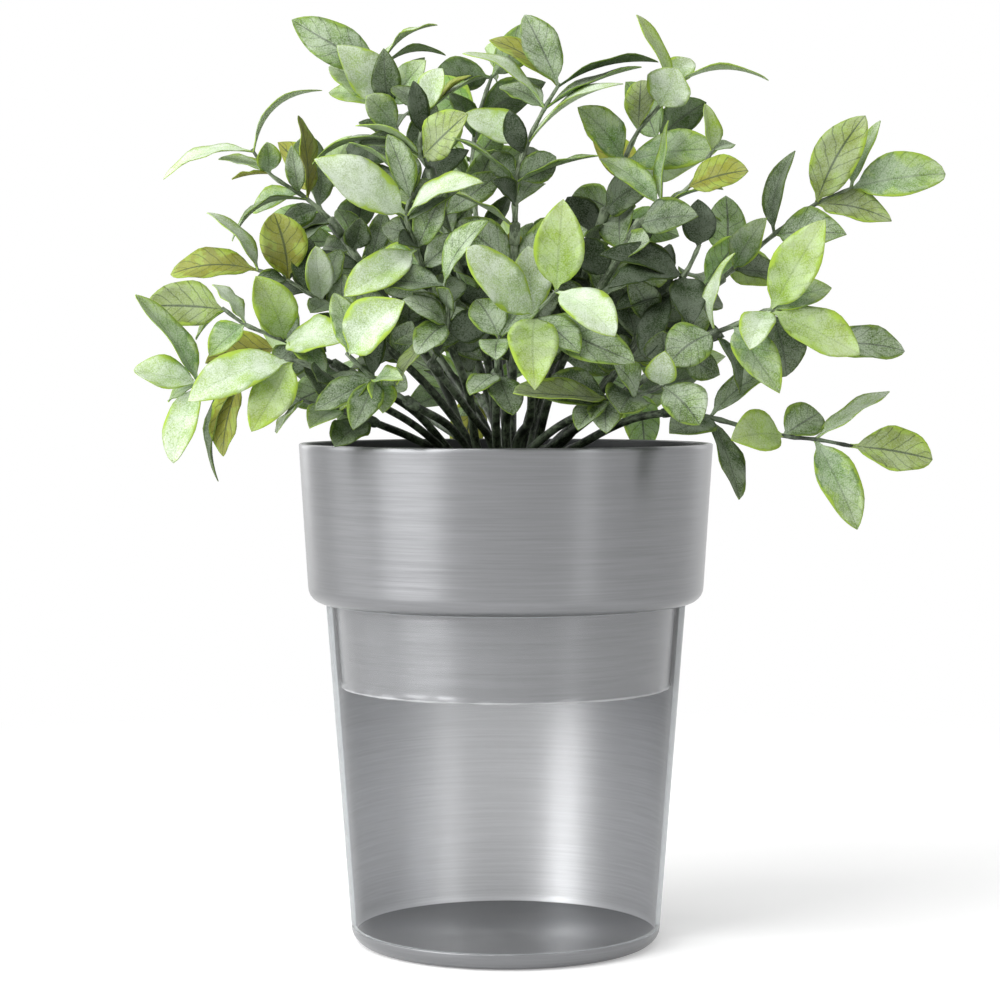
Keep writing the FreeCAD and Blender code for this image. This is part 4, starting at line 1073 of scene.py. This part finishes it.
            (2, 24, 88, 66, 12, 5), (2, 6, 92, 44, 12, 0), (1, 2, 54, 64, 11, 20)],
           "NGPDNO"),
    "25": ((1, 1), BACK,
           [(8, 9, 3), (16, 19, 28), (25, 30, 52)],
           [(34, 38, 68), (40, 43, 80), (46, 45, 91)],
           [(1, 52, 38, 62, 11, 10), (1, 20, 50, 74, 12, 0), (2, 58, 52, 84, 12, 5),
            (2, 26, 54, 92, 11, 10), (3, 60, 48, 102, 11, 5), (3, 36, 54, 108, 12, 0)],
           "GNPODN"),
    "26": ((2, 1), BACK,
           [(15, 10, -3), (26, 25, 12), (37, 40, 30)],
           [(50, 53, 41), (60, 60, 48), (66, 62, 56)],
           [(1, 34, 66, 46, 12, 0), (1, 60, 46, 32, 11, 10), (2, 56, 82, 50, 12, 0),
            (2, 70, 52, 62, 10, 10), (3, 82, 66, 48, 12, 0), (3, 66, 72, 74, 12, 5)],
           "NPDGYN"),
    "27": ((2, 2), BACK,
           [(11, 15, -4), (21, 31, 6), (31, 47, 12)],
           [(40, 63, 16), (47, 74, 17)],
           [(1, 20, 74, 22, 12, 0), (1, 58, 62, 20, 11, 5), (2, 40, 94, 8, 12, 0),
            (2, 66, 80, 26, 12, 5), (2, 44, 84, 36, 11, 10), (1, 42, 72, -4, 11, 10)],
           "GDNPNG"),
    "28": ((2, 3), BACK,
           [(1, 18, -4), (-3, 35, 5), (-6, 50, 11)],
           [(-10, 66, 16), (-12, 78, 18)],
           [(1, -30, 70, 26, 12, 0), (1, 8, 78, 22, 12, 0), (2, -30, 92, 10, 12, 0),
            (2, -6, 98, 24, 12, 0), (2, -14, 88, 38, 11, 10), (1, -14, 76, -6, 11, 5)],
           "NGDPNO"),
}
print(len(BRANCHES), "branches with", sum(len(branch[4]) for branch in BRANCHES.values()), "leaves")

# %% [markdown]
# ## Stems and twigs
# A stem is a tube along a smooth line through its bends, thinner towards its end. Blender's
# curves with a bevel would give such tubes too, but a mesh in code can also carry the map that
# the plastic's streaks follow, and it is closed at both ends.

# %% From the plan to a place
SIGHT_DISTANCE = 800
EYE_ABOVE_RIM = 19.5


def place(across, deep, up):
    """A point of the plan in mm: read square on from the front, and set at its depth."""
    nearness = 1 + deep / SIGHT_DISTANCE
    return Vector((across * nearness, deep,
                   RIM_HEIGHT + EYE_ABOVE_RIM + (up - EYE_ABOVE_RIM) * nearness))


# %% Routes
def smooth_route(bends, step=2.5):
    """Points about a step apart on a smooth line through the bends."""
    route = []
    for k in range(len(bends) - 1):
        a, b = bends[k], bends[k + 1]
        before = bends[k - 1] if k else a + (a - b)
        after = bends[k + 2] if k + 2 < len(bends) else b + (b - a)
        d0, d1, d2 = (a - before).length, (b - a).length, (after - b).length
        leave = ((a - before) / d0 - (b - before) / (d0 + d1) + (b - a) / d1) * d1
        arrive = ((b - a) / d1 - (after - a) / (d1 + d2) + (after - b) / d2) * d1
        count = max(2, round(d1 / step))
        for n in range(count):
            t = n / count
            route.append(a * (2 * t**3 - 3 * t**2 + 1) + leave * (t**3 - 2 * t**2 + t)
                         + b * (3 * t**2 - 2 * t**3) + arrive * (t**3 - t**2))
    return route + [bends[-1]]


def tapered(route, wide, narrow):
    """A radius for each point of a route, from wide at its start to narrow at its end."""
    last = len(route) - 1
    return [wide + (narrow - wide) * k / last for k in range(last + 1)]


# %% A piece in the making
class Shape:
    """Points, faces and what the materials need, gathered for one piece."""

    def __init__(self):
        self.points, self.faces, self.flat, self.kinds = [], [], [], []
        self.blade, self.tint, self.marks = [], [], []

    def add(self, points, faces, kind, blade, tint=(0.1, 0.1, 0.1, 1), marks=None, flat=()):
        """Adds a closed part; kind is 0 for the leaves' plastic and 1 for the stems'."""
        first = len(self.points)
        self.flat += [len(self.faces) + k for k in flat]
        self.points += points
        self.faces += [tuple(v + first for v in f) for f in faces]
        self.kinds += [kind] * len(faces)
        self.blade += blade
        self.tint += [tint] * len(points)
        self.marks += marks or [(0, 0, 0, 1)] * len(points)

    def piece(self, name, slot):
        """The finished object, which rides with the planter."""
        made = mesh_piece(name, self.points, self.faces, [LEAF_PLASTIC, STEM_PLASTIC],
                          "planter", self.kinds, flat_faces=self.flat)
        mesh = made.data
        for label, values in (("leaf_tint", self.tint), ("leaf_marks", self.marks)):
            layer = mesh.attributes.new(label, "FLOAT_COLOR", "POINT")
            layer.data.foreach_set("color", [c for value in values for c in value])
        blade = mesh.uv_layers.new(name="blade")
        for loop in mesh.loops:
            blade.data[loop.index].uv = self.blade[loop.vertex_index]
        return made


# %% Tubes
def tube(route, radii, sides, squareness=0.0):
    """A closed tube along a route, and its map; a little squareness flattens four sides."""
    points, blade = [], []
    across = None
    run = 0.0
    for k, p in enumerate(route):
        run += (p - route[k - 1]).length if k else 0.0
        along = (route[min(k + 1, len(route) - 1)] - route[max(k - 1, 0)]).normalized()
        if across is None:
            across = along.cross(Vector((0.31, 0.17, 1)).normalized()).normalized()
        across = (across - along * across.dot(along)).normalized()
        up = along.cross(across)
        for s in range(sides):
            angle = 2 * pi * s / sides
            radius = radii[k] * (1 - squareness * (0.5 + 0.5 * cos(4 * angle)))
            points.append(p + across * radius * cos(angle) + up * radius * sin(angle))
            blade.append((run / STEM_MAP_LENGTH, abs(1 - 2 * s / sides)))
    faces = turned_faces(len(route), sides)
    faces.append(tuple(reversed(range(sides))))
    faces.append(tuple(range((len(route) - 1) * sides, len(route) * sides)))
    return points, faces, 1, blade


# %% [markdown]
# ## Leaves
# A real leaf is a quarter of a millimetre thick, folded along its midrib, arched, and waved at
# its margins. A flat card with a picture of a leaf would be the usual short cut, but its edges
# look like paper. Here a leaf is a blade with two skins over one grid, joined around the margin
# into a closed solid. Each leaf draws the small things, such as its fold, from its branch's own
# random numbers, so that no two are alike and the bush is the same every time.

# %% Room for the leaves
BOX_LOW = [v / MM for v in cad_low]
BOX_HIGH = [v / MM for v in cad_high]


def inside_box(point, room):
    """The point, moved no further than it takes to stay inside the CAD box."""
    return Vector([min(max(v, low + room), high - room)
                   for low, v, high in zip(BOX_LOW, point, BOX_HIGH)])


# %% Faces of a leaf
def leaf_faces(stations, columns):
    """Quads of the two skins over the same grid, and quads of the margin that joins them."""
    row = 2 * columns + 1
    skin = row * (stations + 1)
    faces, rim = [], []
    for i in range(stations):
        for j in range(row - 1):
            a, b = i * row + j, (i + 1) * row + j
            faces.append((a, a + 1, b + 1, b))
            faces.append((skin + a, skin + b, skin + b + 1, skin + a + 1))
        for a, b in ((i * row + row - 1, (i + 1) * row + row - 1), ((i + 1) * row, i * row)):
            rim.append((a, skin + a, skin + b, b))
    for j in range(row - 1):
        a, b = stations * row + j + 1, stations * row + j
        rim.append((a, skin + a, skin + b, b))
        rim.append((j, skin + j, skin + j + 1, j + 1))
    return faces, rim


# %% One leaf
# The petiole is the share of the leaf's length that has no blade; other sizes are in mm
PETIOLE = 0.08
PETIOLE_HALF_WIDTH = 0.5
TIP_HALF_WIDTH = 0.04
BLADE_THICKNESS = 0.22
MIDRIB_THICKNESS = 0.45
MIDRIB_HALF_WIDTH = 0.5
BOX_ROOM = 0.4
# A blade turned further than this, in degrees, is seen edge-on and gets a plain fold
STEEP_TURN = 40
PLAIN_FOLD = 0.2


def leaf(shape, start, tip, breadth, turn, arch, facing, letter, rng, stations=14, columns=4):
    """Adds a leaf from its foot to its tip, in mm."""
    along = tip - start
    length = along.length
    along.normalize()
    level = (facing - along * facing.dot(along)).normalized()
    up = level * cos(radians(turn)) + along.cross(level) * sin(radians(turn))
    out = along.cross(up)
    # The outline's two powers set how full the blade is towards its foot and its tip
    foot_power, tip_power = rng.uniform(0.58, 0.80), rng.uniform(0.66, 0.92)
    widest = foot_power / (foot_power + tip_power)
    most = widest**foot_power * (1 - widest)**tip_power
    fold, tilt = rng.uniform(0.12, 0.42), rng.uniform(-0.18, 0.18)
    if abs(turn) > STEEP_TURN:
        fold, tilt = PLAIN_FOLD, 0.0
    wave, waves, phase = rng.uniform(0.04, 0.14), rng.uniform(1.2, 2.6), rng.uniform(0, 6)
    sway = rng.uniform(-0.05, 0.05)
    colour, frosting, patches, veins, margin = LEAF_COLOURS[letter]
    shade = rng.uniform(0.88, 1.12)
    tint = [c * shade for c in linear(colour)[:3]] + [1]
    upper, lower, blade = [], [], []
    for i in range(stations + 1):
        # Along the leaf, u runs from 0 to 1, in closer steps near the foot and the tip
        u = 0.5 * (i / stations) + 0.25 * (1 - cos(pi * i / stations))
        s = max(0.0, (u - PETIOLE) / (1 - PETIOLE))
        half = max(PETIOLE_HALF_WIDTH * (1 - u) + TIP_HALF_WIDTH,
                   breadth / 2 * s**foot_power * (1 - s)**tip_power / most)
        spine = start + along * length * u + up * arch * length * 4 * u * (1 - u)
        spine += out * sway * length * sin(pi * u)
        for j in range(-columns, columns + 1):
            # Across it, v runs from -1 to 1; the two margins wave out of step
            v = j / columns
            lift = half * (fold * abs(v)**1.4 + tilt * v)
            lift += wave * half * v * v * sin(2 * pi * waves * u + phase + (1.7 if v > 0 else 0))
            point = inside_box(spine + out * half * v + up * lift, BOX_ROOM)
            rib = MIDRIB_THICKNESS * exp(-(half * v / MIDRIB_HALF_WIDTH)**2) * (1 - 0.7 * u)
            upper.append(point + up * BLADE_THICKNESS / 2)
            lower.append(point + up * (BLADE_THICKNESS / 2 - (BLADE_THICKNESS + rib)))
            blade.append((u, 0.5 + 0.5 * v))
    faces, rim = leaf_faces(stations, columns)
    # The underside has less of the coat, and its veins stand out more
    marks = [(frosting, patches, veins, margin)] * len(upper)
    marks += [(frosting * 0.5, patches * 0.3, min(1, veins * 1.8), margin * 0.7)] * len(lower)
    shape.add(upper + lower, faces + rim, 0, blade + blade, tint, marks,
              flat=range(len(faces), len(faces) + len(rim)))


# %% [markdown]
# ## The dense middle
# Between the leaves that can be told apart, the real bush is closed by small dark ones; here
# their darkness is partly painted shade. They sit in opposite pairs all along a sprig, each pair
# a quarter turn on from the last, as on the plants that such sprigs copy. Pairs like that fill
# the middle here, and the outer twigs, which are barer on the real bush, get none.

# %% Pairs of small leaves
MIDDLE = Vector((-22, 4, RIM_HEIGHT + 42))
MIDDLE_RADII = (52, 72, 66)
PAIR_STEP = 3


def in_middle(point):
    """Whether a point is in the dense middle of the bush."""
    return sum(((a - b) / r)**2 for a, b, r in zip(point, MIDDLE, MIDDLE_RADII)) < 1


def high_up(point):
    """Whether a point of a stem is high enough for leaves; the feet of the stems are bare."""
    return point.z > RIM_HEIGHT + 22


def leaf_pair(shape, foot, along, turned, length, breadth, facing, rng):
    """Two small leaves opposite each other."""
    side = along.cross(facing).normalized()
    side = side * cos(turned) + along.cross(side) * sin(turned)
    for way in (-1, 1):
        own = length * rng.uniform(0.8, 1.2)
        lean = rng.uniform(0.35, 0.8)
        tip = foot + (side * way + along * lean).normalized() * own
        # The tips lean inwards, so that the planned leaves stay in front of them
        tip.y -= 0.4 * own * facing.y
        # One that would leave the CAD box or touch the rim is left out
        if inside_box(tip, 1.0) == tip and tip.z > RIM_HEIGHT + 3:
            leaf(shape, foot, tip, breadth * rng.uniform(0.85, 1.15), rng.uniform(-35, 35),
                 rng.uniform(0.02, 0.14), facing, rng.choice(INNER_COLOURS_WITH_PAINTED_SHADE), rng, 9, 3)


def leaf_pairs(shape, route, first, wanted, lengths, breadths, turned, facing, rng):
    """Pairs along a route, where they are wanted; gives the turn of the next pair."""
    for k in range(first, len(route) - 1, PAIR_STEP):
        if wanted(route[k]):
            along = (route[k + 1] - route[k - 1]).normalized()
            leaf_pair(shape, route[k], along, turned, rng.uniform(*lengths),
                      rng.uniform(*breadths), facing, rng)
            turned += pi / 2
    return turned


# %% [markdown]
# ## Branches
# The real stems stand in the sockets of the pick, in three rings, and each sprig's sleeve slips
# over the end of its stem. A branch is made in that order: the stem, the sleeve, the twig with
# a knot every few millimetres, the leaves of the plan, and the small leaves.

# %% A stem and the bare sprig on it
HEAD_TOP = 137.0
SOCKET_BOTTOM = 129.0
SOCKET_RINGS = ((3.4, 5), (7.3, 10), (11.3, 13))
STEM_RADIUS = 1.45
STEM_TIP_RADIUS = 1.15
SLEEVE_RADIUS = 1.6
SLEEVE_LENGTH = 6.0
TWIG_RADIUS = 0.85
TWIG_TIP_RADIUS = 0.55
KNOT = 1.3


def stem_bends_from_socket(ring, slot, stem_bends):
    """The bends of a stem, from the bottom of its socket, straight up, and on."""
    radius, count = SOCKET_RINGS[ring]
    angle = 2 * pi * slot / count
    bottom = Vector((radius * cos(angle), radius * sin(angle), SOCKET_BOTTOM))
    top = Vector((bottom.x, bottom.y, HEAD_TOP + STEM_RADIUS))
    return [bottom, top] + [place(*b) for b in stem_bends]


def add_sleeve(sprig, end, route, sleeve_end):
    """The sleeve over the stem's end."""
    run = (end - route[-3]).normalized()
    sprig.add(*tube([end, end + run * 1.0, sleeve_end, sleeve_end + run * 0.6],
                    [SLEEVE_RADIUS * 0.9, SLEEVE_RADIUS, SLEEVE_RADIUS, 1.0], 8))


def add_twig(sprig, bends):
    """The twig, with its knots; gives its route."""
    twig = smooth_route(bends)
    radii = tapered(twig, TWIG_RADIUS, TWIG_TIP_RADIUS)
    for k in range(2, len(twig) - 1, PAIR_STEP):
        radii[k] *= KNOT
    sprig.add(*tube(twig, radii, 8, 0.12))
    return twig


# %% The planned leaves of a sprig
BROADER = 1.1
LEAST_SLENDER = 0.36
WIDEST_LEAF = 14


def add_planned_leaves(sprig, spine, leaves, letters, facing, rng):
    """The leaves of the plan, each from the bend that it grows from."""
    feet = [b - (b - a).normalized() * TWIG_RADIUS for a, b in zip(spine, spine[1:])]
    for plan, letter in zip(leaves, letters):
        foot, across, deep, up, breadth, turn = plan[:6]
        arch = plan[6] if len(plan) > 6 else rng.uniform(0.03, 0.12)
        tip = place(across, deep, up)
        length = (tip - feet[foot]).length
        if tip.x > feet[foot].x:
            turn = -turn
        breadth = min(max(breadth * BROADER, LEAST_SLENDER * length), WIDEST_LEAF)
        leaf(sprig, feet[foot], tip, breadth, turn, arch, facing, letter, rng)


# %% The bush
def make_branch(name, ring, slot, facing, stem_bends, sprig_bends, leaves, letters):
    """One branch of the plan: its stem, and the sprig on its end; gives its faces."""
    rng = Random("branch " + name)
    facing = Vector(facing)
    bends = stem_bends_from_socket(ring, slot, stem_bends)
    route = smooth_route(bends)
    stem, sprig = Shape(), Shape()
    stem.add(*tube(route, tapered(route, STEM_RADIUS, STEM_TIP_RADIUS), 12, 0.14))
    end = bends[-1]
    sleeve_end = end + (end - bends[-2]).normalized() * SLEEVE_LENGTH
    further = [place(*b) for b in sprig_bends]
    add_sleeve(sprig, end, route, sleeve_end)
    twig = add_twig(sprig, [sleeve_end] + further)
    add_planned_leaves(sprig, [end, sleeve_end] + further, leaves, letters, facing, rng)
    turned = leaf_pairs(sprig, twig, 2, in_middle, (13, 20), (6.5, 9.5), rng.uniform(0, 3),
                        facing, rng)
    leaf_pairs(stem, route, len(route) * 2 // 5, high_up, (16, 25), (8, 12), turned, facing, rng)
    stem = stem.piece("stem_piece_" + name, "stem_plastic")
    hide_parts("stem_" + name)
    sprig = sprig.piece("sprig_piece_" + name, "leaf_plastic")
    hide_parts("sprig_" + name)
    return len(sprig.data.polygons) + len(stem.data.polygons)


total = 0
for name, ((ring, slot), facing, stem_bends, sprig_bends, leaves, letters) in BRANCHES.items():
    total += make_branch(name, ring, slot, facing, stem_bends, sprig_bends, leaves, letters)
print("bush:", total, "faces")
